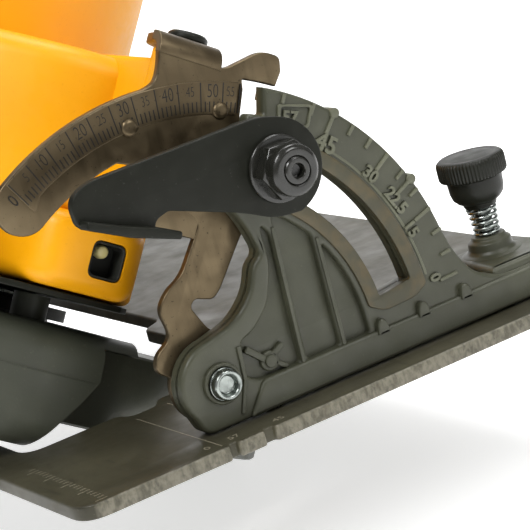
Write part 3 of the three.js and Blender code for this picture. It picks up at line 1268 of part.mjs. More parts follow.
export default saw;
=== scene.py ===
"""Looks of a cordless circular saw at full bevel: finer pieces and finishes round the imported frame."""
import json
import math
import bmesh
import bpy
import numpy as np
from mathutils import Matrix, Vector


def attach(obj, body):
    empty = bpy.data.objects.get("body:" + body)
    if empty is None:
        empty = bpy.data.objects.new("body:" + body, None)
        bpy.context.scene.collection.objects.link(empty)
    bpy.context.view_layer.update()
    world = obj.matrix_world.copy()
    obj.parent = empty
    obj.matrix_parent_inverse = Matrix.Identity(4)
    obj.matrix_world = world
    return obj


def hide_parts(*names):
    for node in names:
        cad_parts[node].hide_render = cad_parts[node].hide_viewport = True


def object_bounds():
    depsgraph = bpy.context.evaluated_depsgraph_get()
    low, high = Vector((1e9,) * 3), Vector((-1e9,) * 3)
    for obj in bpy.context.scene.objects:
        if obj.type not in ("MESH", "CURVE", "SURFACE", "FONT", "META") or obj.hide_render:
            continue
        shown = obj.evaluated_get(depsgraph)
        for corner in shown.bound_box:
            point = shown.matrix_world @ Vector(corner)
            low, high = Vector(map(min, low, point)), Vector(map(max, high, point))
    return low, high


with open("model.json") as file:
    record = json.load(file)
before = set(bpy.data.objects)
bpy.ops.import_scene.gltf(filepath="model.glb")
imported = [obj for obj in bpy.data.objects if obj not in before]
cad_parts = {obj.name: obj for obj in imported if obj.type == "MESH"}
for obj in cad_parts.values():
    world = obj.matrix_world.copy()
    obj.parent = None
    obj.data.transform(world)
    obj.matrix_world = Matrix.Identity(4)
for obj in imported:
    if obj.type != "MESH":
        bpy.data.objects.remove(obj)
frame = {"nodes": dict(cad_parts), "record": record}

CAD_BOX = [[float(v) for v in corner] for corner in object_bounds()]

# ---- sizes, in millimetres -----------------------------------------------------------------
# The saw's pieces are drawn level, as (u, y, w) from the bevel pivot, and turned by the bevel.
# The shoe's pieces are drawn as (x, y, z) from that pivot, and only lifted.
MM = 0.001
BEVEL = 57.0  # degrees
PIVOT_UP = 15.9  # bevel pivot above the sole
PIVOT_BORE = 4.35
SOLE = -15.9
SHOE_TOP = -11.9
SHOE_LEFT, SHOE_RIGHT = -50.5, 129.5
SHOE_FRONT, SHOE_REAR = -11.8, 290.0
QUADRANT_RADIUS = 75.0
QUADRANT_DEPTH = 6.2
QUADRANT_ZERO = 2.35  # degrees, where the casting's zero mark lies
SLOT_INNER, SLOT_OUTER = 50.0, 60.5
SLOT_END = 71.5  # degrees
LAND_INNER, LAND_OUTER, LAND_LAP = 46.2, 64.4, 0.1
PLATE_FRONT = 6.5
PLATE_BACK = 9.1
PLATE_INNER, PLATE_RADIUS = 61.3, 76.0
SCALE_ZERO = 63.1  # degrees, where the steel plate's zero mark lies
SCALE_LAST = 9.3  # degrees, where its last mark lies
SCALE_INNER = 67.9  # radius where its marks begin
BUTTONS = ((55.67, 39.41), (66.32, 15.92))
STUD = (54.41, 9.59)
STUD_BORE = 3.6
LEVER_Y = -18.0
LEVER_THICKNESS = 2.6
DEPTH_AXIS = (18.0, 24.0)
FENCE = (97.0, 16.5)
FENCE_BORE = 2.75
SHOE_SCREWS = [(FENCE[0] + 6.3, 6.0), (14.0, 3.2), (-9.0, 274.0), (9.0, 274.0)]
ARBOR = (145.0, 12.0)
GUARD_LEFT, GUARD_RIGHT = -29.0, 4.0
GUARD_RADIUS = 101.0
GUARD_WALL = 2.4
GUARD_EDGE = -4.0  # height of the guard's lower edge at its right side
GUARD_SLOPE = 84 / 94  # rise of the guard's lower edge for each millimetre to the left
MOTOR = (135.11, 33.21)
MOTOR_RADIUS = 46.0
MOTOR_FLAT = -8.5
MOTOR_WALL = 2.6
WELD, COPY_WELD = 1e-6, 2e-6  # metres


# ---- outlines --------------------------------------------------------------------------------
def polar(radius, degrees, centre=(0.0, 0.0)):
    """Point on a circle: the centre plus radius times the cosine and the sine of the angle."""
    turn = math.radians(degrees)
    return [centre[0] + radius * math.cos(turn), centre[1] + radius * math.sin(turn)]


def arc(radius, start, end, steps, centre=(0.0, 0.0)):
    """Evenly spaced corners on a circle, from one angle to another."""
    return [polar(radius, a, centre) for a in np.linspace(start, end, steps + 1)]


def rounded(corners, steps=7, closed=True):
    """Corners (a, b, reach), each cut by a quadratic curve that leaves its sides at that reach."""
    made = []
    count = len(corners)
    for i, corner in enumerate(corners):
        point = np.array(corner[:2], float)
        reach = corner[2] if len(corner) > 2 else 0.0
        if reach == 0.0 or (not closed and i in (0, count - 1)):
            made.append(point[None])
            continue
        before = np.array(corners[i - 1][:2], float)
        after = np.array(corners[(i + 1) % count][:2], float)
        lengths = [np.linalg.norm(before - point), np.linalg.norm(after - point)]
        short = min(reach, lengths[0] * 0.49, lengths[1] * 0.49)
        first = point + (before - point) * short / lengths[0]
        last = point + (after - point) * short / lengths[1]
        t = np.linspace(0, 1, steps + 1)[:, None]
        made.append((1 - t) ** 2 * first + 2 * t * (1 - t) * point + t ** 2 * last)
    return np.concatenate(made)


def sector(inner, outer, start, end, steps=60, centre=(0.0, 0.0)):
    """Band between two radii: out along one arc and back along the other."""
    return arc(outer, start, end, steps, centre) + arc(inner, end, start, steps, centre)


def circle(radius, centre=(0.0, 0.0), steps=48):
    """Whole arc whose last corner stops one step short of its first."""
    return arc(radius, 0, 360 - 360 / steps, steps - 1, centre)


# ---- solids: each is (points, faces) -------------------------------------------------------
def baked(curve):
    """Points and faces of a curve or text, taken as a mesh, with the curve removed after."""
    holder = bpy.data.objects.new(curve.name, curve)
    bpy.context.scene.collection.objects.link(holder)
    shown = holder.evaluated_get(bpy.context.evaluated_depsgraph_get())
    mesh = bpy.data.meshes.new_from_object(shown)
    points = np.zeros(len(mesh.vertices) * 3)
    mesh.vertices.foreach_get("co", points)
    faces = [tuple(p.vertices) for p in mesh.polygons]
    bpy.data.objects.remove(holder)
    bpy.data.curves.remove(curve)
    bpy.data.meshes.remove(mesh)
    return points.reshape(-1, 3), faces


def leaned(points, degrees):
    """Points turned about the bevel axis: u and w mix by the cosine and sine of the angle."""
    c, s = math.cos(math.radians(degrees)), math.sin(math.radians(degrees))
    u, y, w = points.T
    return np.column_stack([u * c - w * s, y, u * s + w * c])


def grid_faces(rows, columns):
    """Quads over rows of a closed ring of columns."""
    i, j = np.meshgrid(np.arange(rows - 1), np.arange(columns), indexing="ij")
    k = (j + 1) % columns
    below, above = i * columns, (i + 1) * columns
    quads = np.stack([below + j, below + k, above + k, above + j], -1)
    return [tuple(q) for q in quads.reshape(-1, 4).tolist()]


def capped_faces(rows, columns):
    """Quads over the rings, with one flat face over the first ring and one over the last."""
    last = (rows - 1) * columns
    caps = [tuple(range(columns))[::-1], tuple(range(last, last + columns))]
    return grid_faces(rows, columns) + caps


def poled_faces(rows, columns):
    """Quads over the rings, with a fan from each end ring to its pole; the poles come after the rings."""
    first, base = rows * columns, (rows - 1) * columns
    faces = grid_faces(rows, columns)
    faces += [(first, (j + 1) % columns, j) for j in range(columns)]
    faces += [(first + 1, base + j, base + (j + 1) % columns) for j in range(columns)]
    return faces


AXIS_ORDER = {"Z": (0, 1, 2), "Y": (0, 2, 1), "X": (2, 0, 1)}


def filled(loops, low, high, rim=0.4, along="Y", segments=2):
    """Outline with holes, filled flat, pushed from low to high and its rims rolled over by rim."""
    curve = bpy.data.curves.new("outline", "CURVE")
    curve.dimensions = "2D"
    curve.fill_mode = "BOTH"
    curve.extrude = (high - low) / 2 - rim
    curve.bevel_depth = rim
    curve.bevel_resolution = segments
    curve.offset = -rim
    for loop in loops:
        spline = curve.splines.new("POLY")
        spline.points.add(len(loop) - 1)
        flat = np.zeros((len(loop), 4))
        flat[:, :2] = np.asarray([p[:2] for p in loop])
        flat[:, 3] = 1
        spline.points.foreach_set("co", flat.ravel())
        spline.use_cyclic_u = True
    points, faces = baked(curve)
    points[:, 2] += (low + high) / 2
    return points[:, AXIS_ORDER[along]], faces


def turned(profile, along, at, steps=72, reach=0.35):
    """Profile of (radius, height) turned once round an axis: each ring is its radius times the cosine
    and sine of the turn. The profile's corners are eased, and its ends meet the axis in poles."""
    soft = [(r, h, 0.0 if r == 0 else reach) for r, h in profile]
    line = rounded(soft, steps=3, closed=False)
    inner = line[1:-1]
    turn = np.linspace(0, 2 * np.pi, steps, endpoint=False)
    ring = np.stack([
        inner[:, 0, None] * np.cos(turn), inner[:, 0, None] * np.sin(turn),
        np.repeat(inner[:, 1, None], steps, 1)], -1).reshape(-1, 3)
    ends = np.array([[0, 0, line[0, 1]], [0, 0, line[-1, 1]]])
    points = np.concatenate([ring, ends])[:, AXIS_ORDER[along]]
    return points + np.array(at), poled_faces(len(inner), steps)


def turned_tube(section, steps=72, reach=0.35):
    """Closed section of (radius, y) turned once round an axis along Y at the origin, so that its last
    corner joins its first and leaves a bore."""
    line = rounded([(r, h, reach) for r, h in section], steps=3)
    turn = np.linspace(0, 2 * np.pi, steps, endpoint=False)
    ring = np.stack([np.outer(line[:, 0], np.cos(turn)), np.repeat(line[:, 1, None], steps, 1),
                     np.outer(line[:, 0], np.sin(turn))], -1).reshape(-1, 3)
    closed = np.concatenate([ring, ring[:steps]])
    return closed, grid_faces(len(line) + 1, steps)


def swept(path, radius, sides=8):
    """Round wire: a circle carried along a path, square to its direction, with flat ends."""
    path = np.asarray(path, float)
    ahead = np.gradient(path, axis=0)
    ahead /= np.linalg.norm(ahead, axis=1)[:, None]
    guide = np.where(np.abs(ahead[:, 2:]) > 0.9, [[1.0, 0, 0]], [[0, 0, 1.0]])
    across = np.cross(ahead, guide)
    across /= np.linalg.norm(across, axis=1)[:, None]
    up = np.cross(across, ahead)
    turn = np.linspace(0, 2 * np.pi, sides, endpoint=False)
    ring = (path[:, None] + radius * (np.cos(turn)[None, :, None] * across[:, None]
            + np.sin(turn)[None, :, None] * up[:, None]))
    return ring.reshape(-1, 3), capped_faces(len(path), sides)


def shell(corners, low, high, roll, levels=7):
    """Rounded (y, w) outline pushed from low to high along u, its two ends rolled over: the outline
    moves in by one minus the sine of the roll's angle while it rises by one minus its cosine."""
    rings = []
    turns = np.radians(np.linspace(0, 90, levels))
    insets = roll * (1 - np.sin(turns))
    heights = roll * (1 - np.cos(turns))
    for inward, height in zip(insets, heights):
        rings.append((moved_in(corners, inward), low + height))
    rings += [(ring, low + high - height) for ring, height in reversed(rings)]
    count = len(rings[0][0])
    flat = np.concatenate([np.column_stack([ring, np.full(count, at)]) for ring, at in rings])
    return flat[:, AXIS_ORDER["X"]], capped_faces(len(rings), count)


def moved_in(corners, wall):
    """Corners shifted inwards by a wall: each moves along the sum of its two sides' normals, over one
    plus the cosine between them. Its reach shrinks by the wall where it is convex, and grows elsewhere."""
    shifted = []
    for i, corner in enumerate(corners):
        here = np.array(corner[:2], float)
        back = here - np.array(corners[i - 1][:2], float)
        ahead = np.array(corners[(i + 1) % len(corners)][:2], float) - here
        back /= np.linalg.norm(back)
        ahead /= np.linalg.norm(ahead)
        a = np.array([-back[1], back[0]])
        b = np.array([-ahead[1], ahead[0]])
        convex = a[0] * b[1] - a[1] * b[0] > 0
        spot = here + (a + b) * wall / (1 + a @ b)
        shifted.append((spot[0], spot[1], max(corner[2] + (-wall if convex else wall), 0.5)))
    return rounded(shifted)


def lettering(words, size, place, turn=0.0, depth=0.5, front=0.0, thick=0.0, lean=1.0):
    """Figures that face the front, centred on place: narrowed by lean, turned, and depth thick about
    the level front."""
    text = bpy.data.curves.new("figures", "FONT")
    text.body = words
    text.size = size
    text.extrude = depth / 2
    text.offset = thick
    text.resolution_u = 3
    text.align_x = "CENTER"
    text.align_y = "CENTER"
    points, faces = baked(text)
    c, s = math.cos(math.radians(turn)), math.sin(math.radians(turn))
    x, z, out = points[:, 0] * lean, points[:, 1], points[:, 2]
    return np.column_stack([place[0] + x * c - z * s, front - out, place[1] + x * s + z * c]), faces


# ---- pieces ----------------------------------------------------------------------------------
BODIES = {n: b for b, members in frame["record"]["behaviour"]["bodies"].items() for n in members}
SHARP_ANGLE = 38  # degrees, past which an edge stays sharp


def piece(name, solids, body, nodes, material, tilted=True):
    """Solids joined in one mesh, turned by the bevel if they tilt, in place of the frame's nodes."""
    points = np.concatenate([s[0] for s in solids])
    offset, faces = 0, []
    for solid_points, solid_faces in solids:
        faces += [tuple(v + offset for v in face) for face in solid_faces]
        offset += len(solid_points)
    mesh = placed_mesh(name, leaned(points, BEVEL) if tilted else points, faces)
    return finish_mesh(name, mesh, body, nodes, material)


def placed_mesh(name, points, faces):
    """Points lifted to the pivot, in metres, with doubles merged and faces turned outwards."""
    mesh = bpy.data.meshes.new(name)
    mesh.from_pydata(((points + [0, 0, PIVOT_UP]) * MM).tolist(), [], faces)
    welded(mesh)
    return mesh


def welded(mesh):
    """Points closer than the weld merged into one, and every face turned outwards."""
    work = bmesh.new()
    work.from_mesh(mesh)
    bmesh.ops.remove_doubles(work, verts=work.verts, dist=WELD)
    bmesh.ops.recalc_face_normals(work, faces=work.faces)
    work.to_mesh(mesh)
    work.free()


def finish_mesh(name, mesh, body, nodes, material, bevel=0.0, smooth=SHARP_ANGLE):
    """Object of a clean mesh, its edges eased by bevel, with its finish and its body."""
    made = bpy.data.objects.new(name, mesh)
    bpy.context.scene.collection.objects.link(made)
    if bevel > 0:
        soften = made.modifiers.new("rim", "BEVEL")
        soften.width = bevel * MM
        soften.segments = 3
        soften.limit_method = "ANGLE"
        soften.angle_limit = math.radians(32)
        soften.use_clamp_overlap = True
    mesh.materials.append(material)
    mesh.shade_smooth()
    mesh.set_sharp_from_angle(angle=math.radians(smooth))
    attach(made, body)
    if nodes:
        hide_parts(*nodes)
    return made


def copied(node, material, bevel):
    """The frame's own node with its corners merged, its flat faces joined and its edges eased."""
    mesh = frame["nodes"][node].data.copy()
    mesh.materials.clear()
    work = bmesh.new()
    work.from_mesh(mesh)
    bmesh.ops.remove_doubles(work, verts=work.verts, dist=COPY_WELD)
    bmesh.ops.dissolve_limit(work, angle_limit=math.radians(0.6), verts=work.verts, edges=work.edges)
    work.to_mesh(mesh)
    work.free()
    welded(mesh)
    finish_mesh(node + "_shown", mesh, BODIES[node], [node], material, bevel, smooth=30)


# ---- finishes ----------------------------------------------------------------------------------
def srgb(r, g, b):
    """Screen colour 0-255 as linear light."""
    c = np.array([r, g, b]) / 255
    return (*np.where(c <= 0.04045, c / 12.92, ((c + 0.055) / 1.055) ** 2.4).tolist(), 1.0)


class Finish:
    """A material on Object coordinates: layers of noise mix its colours, roughness and bump."""

    def __init__(self, name, base, rough=0.5, metal=0.0, specular=0.5):
        self.material = bpy.data.materials.new(name)
        self.material.use_nodes = True
        self.tree = self.material.node_tree
        self.shader = self.tree.nodes["Principled BSDF"]
        self.shader.inputs["Base Color"].default_value = base
        self.shader.inputs["Roughness"].default_value = rough
        self.shader.inputs["Metallic"].default_value = metal
        self.shader.inputs["Specular IOR Level"].default_value = specular
        self.place = self.tree.nodes.new("ShaderNodeTexCoord").outputs["Object"]
        self.colour = None
        self.base = base
        self.normal = None

    def node(self, kind, **settings):
        """New node of a kind, with its settings."""
        made = self.tree.nodes.new(kind)
        for key, value in settings.items():
            setattr(made, key, value)
        return made

    def noise(self, scale, detail=4.0, stretch=(1, 1, 1), turn=(0, 0, 0)):
        """Noise about half everywhere, its scale per metre, drawn out along an axis by a small stretch."""
        mapping = self.node("ShaderNodeMapping")
        mapping.inputs["Scale"].default_value = stretch
        mapping.inputs["Rotation"].default_value = turn
        made = self.node("ShaderNodeTexNoise")
        made.inputs["Scale"].default_value = scale
        made.inputs["Detail"].default_value = detail
        made.inputs["Roughness"].default_value = 0.5
        self.tree.links.new(self.place, mapping.inputs["Vector"])
        self.tree.links.new(mapping.outputs["Vector"], made.inputs["Vector"])
        return made.outputs["Fac"]

    def ramp(self, value, low, high, start=0.0, end=1.0):
        """Value between low and high carried over in proportion to between start and end."""
        made = self.node("ShaderNodeMapRange")
        made.inputs["From Min"].default_value = low
        made.inputs["From Max"].default_value = high
        made.inputs["To Min"].default_value = start
        made.inputs["To Max"].default_value = end
        self.tree.links.new(value, made.inputs["Value"])
        return made.outputs["Result"]

    def layer(self, band, amount, noise, other):
        """Another colour where the noise lies past a band, fading in over it up to an amount."""
        return self.tint(self.ramp(self.noise(*noise), *band, 0.0, amount), other)

    def tint(self, value, other):
        """Where value is one, the colour so far gives way to another."""
        mix = self.node("ShaderNodeMix", data_type="RGBA")
        self.tree.links.new(value, mix.inputs["Factor"])
        if self.colour is None:
            mix.inputs["A"].default_value = self.base
        else:
            self.tree.links.new(self.colour, mix.inputs["A"])
        mix.inputs["B"].default_value = other
        self.colour = mix.outputs["Result"]
        self.tree.links.new(self.colour, self.shader.inputs["Base Color"])
        return self

    def front_edge(self, start, end):
        """One where Y lies beyond the front rim, in millimetres, broken up by streaks."""
        split = self.node("ShaderNodeSeparateXYZ")
        self.tree.links.new(self.place, split.inputs["Vector"])
        edge = self.ramp(split.outputs["Y"], start * MM, end * MM)
        streaks = self.ramp(self.noise(800, 5, (1, 1, 0.5)), 0.36, 0.62, 0.3, 1.0)
        both = self.node("ShaderNodeMath", operation="MULTIPLY")
        self.tree.links.new(edge, both.inputs[0])
        self.tree.links.new(streaks, both.inputs[1])
        return both.outputs[0]

    def gloss(self, noise, low, high):
        """Roughness from low to high as the noise rises."""
        value = self.ramp(self.noise(*noise), 0.3, 0.7, low, high)
        self.tree.links.new(value, self.shader.inputs["Roughness"])
        return self

    def grain(self, noise, strength, height):
        """Bump whose height is the noise."""
        return self.bump(self.noise(*noise), strength, height)

    def bump(self, value, strength, height):
        """Surface lifted by up to height millimetres where value is one, on top of earlier bumps."""
        made = self.node("ShaderNodeBump")
        made.inputs["Strength"].default_value = strength
        made.inputs["Distance"].default_value = height * MM
        self.tree.links.new(value, made.inputs["Height"])
        if self.normal is not None:
            self.tree.links.new(self.normal, made.inputs["Normal"])
        self.normal = made.outputs["Normal"]
        self.tree.links.new(self.normal, self.shader.inputs["Normal"])
        return self


def cast_paint(name, base, light, dark):
    """Satin paint over a die casting: fine grain, faint clouding and a few lighter scuffs."""
    f = Finish(name, base, 0.34, 0.0, 0.42)
    f.layer((0.45, 0.75), 0.6, (90, 5), light)
    f.layer((0.5, 0.8), 0.7, (45, 3), dark)
    f.layer((0.66, 0.74), 0.5, (900, 2), light)
    f.gloss((160, 4), 0.34, 0.52)
    f.grain((1500, 3), 0.22, 0.12).grain((260, 2), 0.12, 0.25)
    return f.material


def worn_metal():
    """Land that the clamp rubs: paint polished to a brown, streaked bare metal."""
    f = Finish("worn_land", srgb(64, 62, 46), 0.34, 0.2, 0.42)
    f.layer((0.42, 0.62), 0.9, (180, 5), srgb(80, 71, 48))
    f.layer((0.55, 0.72), 0.8, (420, 3, (1, 1, 0.25)), srgb(62, 60, 46))
    f.gloss((300, 3), 0.3, 0.5)
    f.grain((900, 3), 0.2, 0.1)
    return f.material


def bronze_steel():
    """Plated sheet steel with a brown cast, a brushed grain and small dark specks."""
    f = Finish("bronze_steel", srgb(92, 80, 60), 0.34, 0.85)
    f.layer((0.4, 0.7), 0.7, (70, 5), srgb(112, 99, 76))
    f.layer((0.5, 0.75), 0.35, (500, 3, (1, 1, 0.12), (0, 0.9, 0)), srgb(66, 56, 40))
    f.layer((0.7, 0.76), 0.6, (1300, 1), srgb(44, 38, 28))
    f.gloss((260, 4), 0.3, 0.48)
    f.grain((1200, 2, (1, 1, 0.2), (0, 0.9, 0)), 0.12, 0.06)
    return f.material


def black_coat(name="black_coat", base=(25, 26, 20), rough=0.44, shine=0.16):
    """Black coated steel with faint grain and rubbed grey spots."""
    f = Finish(name, srgb(*base), rough, 0.1, shine)
    f.layer((0.5, 0.78), 0.6, (120, 5), srgb(*(v + 12 for v in base)))
    f.layer((0.68, 0.76), 0.5, (1100, 2), srgb(*(v + 34 for v in base)))
    f.gloss((200, 3), rough - 0.08, rough + 0.1)
    f.grain((1400, 2), 0.14, 0.08)
    return f.material


def shoe_paint():
    """Dark coated plate, dusty and scuffed along the way it slides."""
    f = Finish("shoe_paint", srgb(54, 52, 40), 0.44, 0.0, 0.3)
    f.layer((0.4, 0.72), 0.75, (28, 5), srgb(74, 71, 55))
    f.tint(f.front_edge(-10.9, -11.5), srgb(112, 108, 94))
    f.layer((0.58, 0.74), 0.45, (700, 4, (1, 0.2, 1)), srgb(34, 32, 26))
    f.layer((0.7, 0.76), 0.5, (1500, 1), srgb(96, 92, 78))
    f.gloss((120, 4), 0.3, 0.5)
    f.grain((900, 3), 0.14, 0.08)
    return f.material


def yellow_plastic():
    """Moulded glass-filled plastic: fine even grain and slight warm shading."""
    f = Finish("yellow_plastic", srgb(232, 160, 4), 0.42, 0.0, 0.3)
    f.layer((0.4, 0.7), 0.5, (22, 3), srgb(224, 148, 2))
    f.layer((0.64, 0.74), 0.25, (1400, 2), srgb(200, 130, 8))
    f.gloss((500, 3), 0.36, 0.5)
    f.grain((1600, 2), 0.16, 0.08)
    return f.material


def black_plastic(name="black_plastic", base=(34, 35, 31), rough=0.55, shine=0.25):
    """Spark-textured plastic with a faint bloom."""
    f = Finish(name, srgb(*base), rough, 0.0, shine)
    f.layer((0.45, 0.75), 0.6, (60, 4), srgb(*(v + 12 for v in base)))
    f.gloss((240, 3), rough - 0.08, rough + 0.08)
    f.grain((1900, 2), 0.35, 0.12)
    return f.material


def soft_rubber():
    """Overmoulded grip: a dull pebbled skin."""
    f = Finish("soft_rubber", srgb(30, 30, 29), 0.8)
    pebble = f.node("ShaderNodeTexVoronoi")
    pebble.inputs["Scale"].default_value = 620
    f.tree.links.new(f.place, pebble.inputs["Vector"])
    f.layer((0.45, 0.75), 0.6, (70, 4), srgb(44, 44, 42))
    f.gloss((200, 2), 0.72, 0.88)
    f.bump(pebble.outputs["Distance"], 0.6, 0.3)
    return f.material


def plated_steel(name="plated_steel", base=(176, 180, 178), rough=0.28):
    """Bright plating with fine turned marks and a few dull spots."""
    f = Finish(name, srgb(*base), rough, 1.0)
    f.layer((0.5, 0.75), 0.7, (350, 4), srgb(*(int(v * 0.72) for v in base)))
    f.gloss((420, 3), rough - 0.08, rough + 0.12)
    f.grain((1600, 2), 0.12, 0.05)
    return f.material


def core_metal():
    """Laminated steel core with copper between its teeth."""
    f = Finish("core_metal", srgb(120, 112, 104), 0.4, 0.9)
    f.layer((0.5, 0.6), 1.0, (140, 3), srgb(168, 98, 52))
    f.grain((800, 2, (1, 0.1, 1)), 0.3, 0.1)
    return f.material


def lamp_glass():
    """Warm clear plastic, a little cloudy."""
    f = Finish("lamp_glass", srgb(235, 220, 150), 0.12, 0.0, 0.6)
    f.layer((0.5, 0.8), 0.4, (600, 2), srgb(255, 244, 196))
    f.grain((900, 2), 0.1, 0.05)
    return f.material


def ink(name, colour):
    """Stamped or filled marks, and the dark edging of painted shade round raised figures, a little uneven."""
    f = Finish(name, colour, 0.5, 0.2)
    lighter = tuple(min(1.0, v * 2.2) for v in colour[:3]) + (1.0,)
    f.layer((0.5, 0.8), 0.4, (900, 3), lighter)
    f.grain((1300, 1), 0.1, 0.05)
    return f.material


CAST = cast_paint("cast_paint", srgb(62, 63, 49), srgb(80, 81, 65), srgb(48, 49, 37))
GUARD = cast_paint("guard_paint", srgb(66, 68, 57), srgb(82, 84, 71), srgb(52, 54, 44))
# Raised marks: the casting paint made lighter, a painted highlight on their faces.
LIT_MARK_PAINT = cast_paint("lit_mark_paint", srgb(84, 85, 68), srgb(110, 111, 92), srgb(70, 71, 56))
LAND = worn_metal()
BRONZE = bronze_steel()
BLACK = black_coat()
DARK_NUT = black_coat("dark_nut", (30, 30, 26), 0.2, 0.6)
SHOE = shoe_paint()
YELLOW = yellow_plastic()
PLASTIC = black_plastic()
KNOB = black_plastic("knob_plastic", (27, 28, 22), 0.42, 0.25)
RUBBER = soft_rubber()
PLATED = plated_steel("plated_steel", (150, 156, 152), 0.26)
BLADE = plated_steel("blade_steel", (150, 150, 146), 0.3)
CORE = core_metal()
GLASS = lamp_glass()
STAMP = ink("stamp_ink", srgb(22, 19, 13))
# Dark edging round the raised figures: partly dirt, partly painted shade at their foot.
FIGURE_SHADE_AND_DIRT = ink("figure_shade_and_dirt", srgb(36, 37, 28))
SCRIBE = ink("scribe_line", srgb(128, 122, 104))

# ---- bevel quadrant ------------------------------------------------------------------------------
QUADRANT_FOOT = [
    (-7.4, -11.6, 3), (112, -11.6, 1), (112, -2.8, 3), (88, -2.8, 7), (79.6, 1.2, 5), (75.6, 8.5, 3),
]
QUADRANT_TOP = [(30.9, 60.6, 1), (26.6, 62.6, 1.5)]
QUADRANT_BACK = [
    (25.2, 59.3, 0.5), (15.5, 59.5, 2.5), (12.6, 52, 3), (13.2, 45, 3), (18.2, 36, 4), (20.4, 27.5, 2),
    (17.1, 25.3, 2), (14.7, 19.2, 4), (8.5, 13.7, 4), *arc(11.4, 95, 215, 24),
]
QUADRANT_EDGE = QUADRANT_FOOT + arc(QUADRANT_RADIUS, 12, 64, 60) + QUADRANT_TOP + QUADRANT_BACK
# behind the face, a groove lets the steel plate's buttons pass as the saw tilts
GROOVE_INNER, GROOVE_OUTER = 64.6, 71.8
GROOVED_EDGE = [
    *QUADRANT_FOOT, *arc(QUADRANT_RADIUS, 12, 63, 50), *arc(GROOVE_OUTER, 63, 8, 50),
    *arc(GROOVE_INNER, 8, 62, 50), *QUADRANT_BACK,
]
SLOT = rounded([
    *arc(SLOT_OUTER, 6.2, 70.5, 50), (*polar(SLOT_OUTER, SLOT_END), 1.2),
    (*polar(SLOT_INNER, SLOT_END), 1.2), *arc(SLOT_INNER, 70.5, 6.2, 50),
    (*polar(SLOT_INNER, 6), 0.6), (*polar(SLOT_OUTER, 6), 1.0),
])
POCKETS = [
    [(11.2, -3.2, 1.5), (23.3, -3.2, 1.5), (24.2, 31.5, 1.5), (22.0, 34.5, 1.5), (22.0, 24, 3),
     (18.6, 14.6, 3), (12.5, 9.4, 2), (8.2, 8.0, 1.5), (7.8, 3.5, 1.5), (7.4, -1.1, 1.5)],
    [(25.4, -3.2, 1.6), (35.7, -3.2, 1.6), (35.6, 27.2, 1.6), *arc(44.6, 40, 52, 6),
     (25.8, 36.0, 1.6)],
    [(37.6, -3.2, 1.6), (45.0, -3.2, 1.2), *arc(44.8, 0, 28, 12), (37.6, 24.2, 1.4)],
]
LONG_TICKS = (57, 45, 30, 22.5, 15, 0)
SHORT_TICKS = (50, 40, 35, 25, 20, 10, 5)


def tick(inner, outer, degrees, half, front, back, rim=0.16):
    """Thin raised bar along a radius, whose sides lie half a width off it."""
    way = np.array(polar(1, degrees))
    side = np.array([-way[1], way[0]]) * half
    a, b = way * inner, way * outer
    return filled([[a - side, b - side, b + side, a + side]], front, back, rim)


def bar(x0, z0, x1, z1, half, front, back, rim=0.3):
    """Raised rib between two points of the casting's face, its four corners rounded."""
    way = np.array([x1 - x0, z1 - z0])
    side = np.array([-way[1], way[0]]) / np.linalg.norm(way) * half
    a, b = np.array([x0, z0]), np.array([x1, z1])
    corners = [(*corner, half * 0.6) for corner in (a - side, b - side, b + side, a + side)]
    return filled([rounded(corners, 4)], front, back, rim)


def quadrant_face():
    """Face with its pockets, a floor behind them, and the ribs, foot and bosses that stand on it."""
    edge, back, bore = rounded(QUADRANT_EDGE), rounded(GROOVED_EDGE), circle(PIVOT_BORE)
    dimple = (15.2, 0.2)
    solids = [
        filled([edge, SLOT, bore] + [rounded(p) for p in POCKETS], 0.0, 4.8, 1.1, segments=4),
        filled([back, SLOT, bore], 2.2, QUADRANT_DEPTH, 0.3),
        filled([circle(5.4), circle(4.3)], -1.1, 1.6, 0.45),
        filled([circle(2.7, dimple)], 0.9, 3.0, 0.5),
        filled([circle(1.7, dimple)], 0.1, 3.0, 0.35),
        bar(9.2, 5.6, 14.0, 1.0, 0.9, 0.6, 3.0), bar(16.4, 1.4, 20.0, 3.2, 0.8, 0.9, 3.0),
        bar(16.6, -0.6, 20.0, -3.0, 0.7, 0.9, 3.0), bar(6.9, 7.4, 6.4, -1.4, 0.6, -0.6, 1.5),
        bar(6.5, -1.2, 3.4, -9.6, 0.6, -0.6, 1.5), bar(23.9, -3.6, 25.0, 33.0, 0.55, -0.35, 2.6),
        bar(36.6, -3.6, 36.6, 26.2, 0.55, -0.35, 2.6),
    ]
    foot = rounded([(4.9, -11.3, 1.5), (111.6, -11.3, 1.2), (111.6, -3.1, 2.5), (88, -3.1, 5), (76.8, -3.1, 2),
                    (11.2, -3.1, 1.6), (7.4, -8.0, 1.5)])
    solids.append(filled([foot], -1.15, 1.6, 0.85, segments=3))
    for x in (48.1, 61.2, 75.0):
        gusset = [(x - 1.9, -4.2, 0.3), (x + 1.9, -4.2, 0.3), (x + 1.5, -1.4, 0.9),
                  (x + 0.7, -0.3, 0.7), (x - 0.7, -0.3, 0.7), (x - 1.5, -1.4, 0.9)]
        solids.append(filled([rounded(gusset)], -1.9, 1.0, 0.6, segments=3))
    return solids


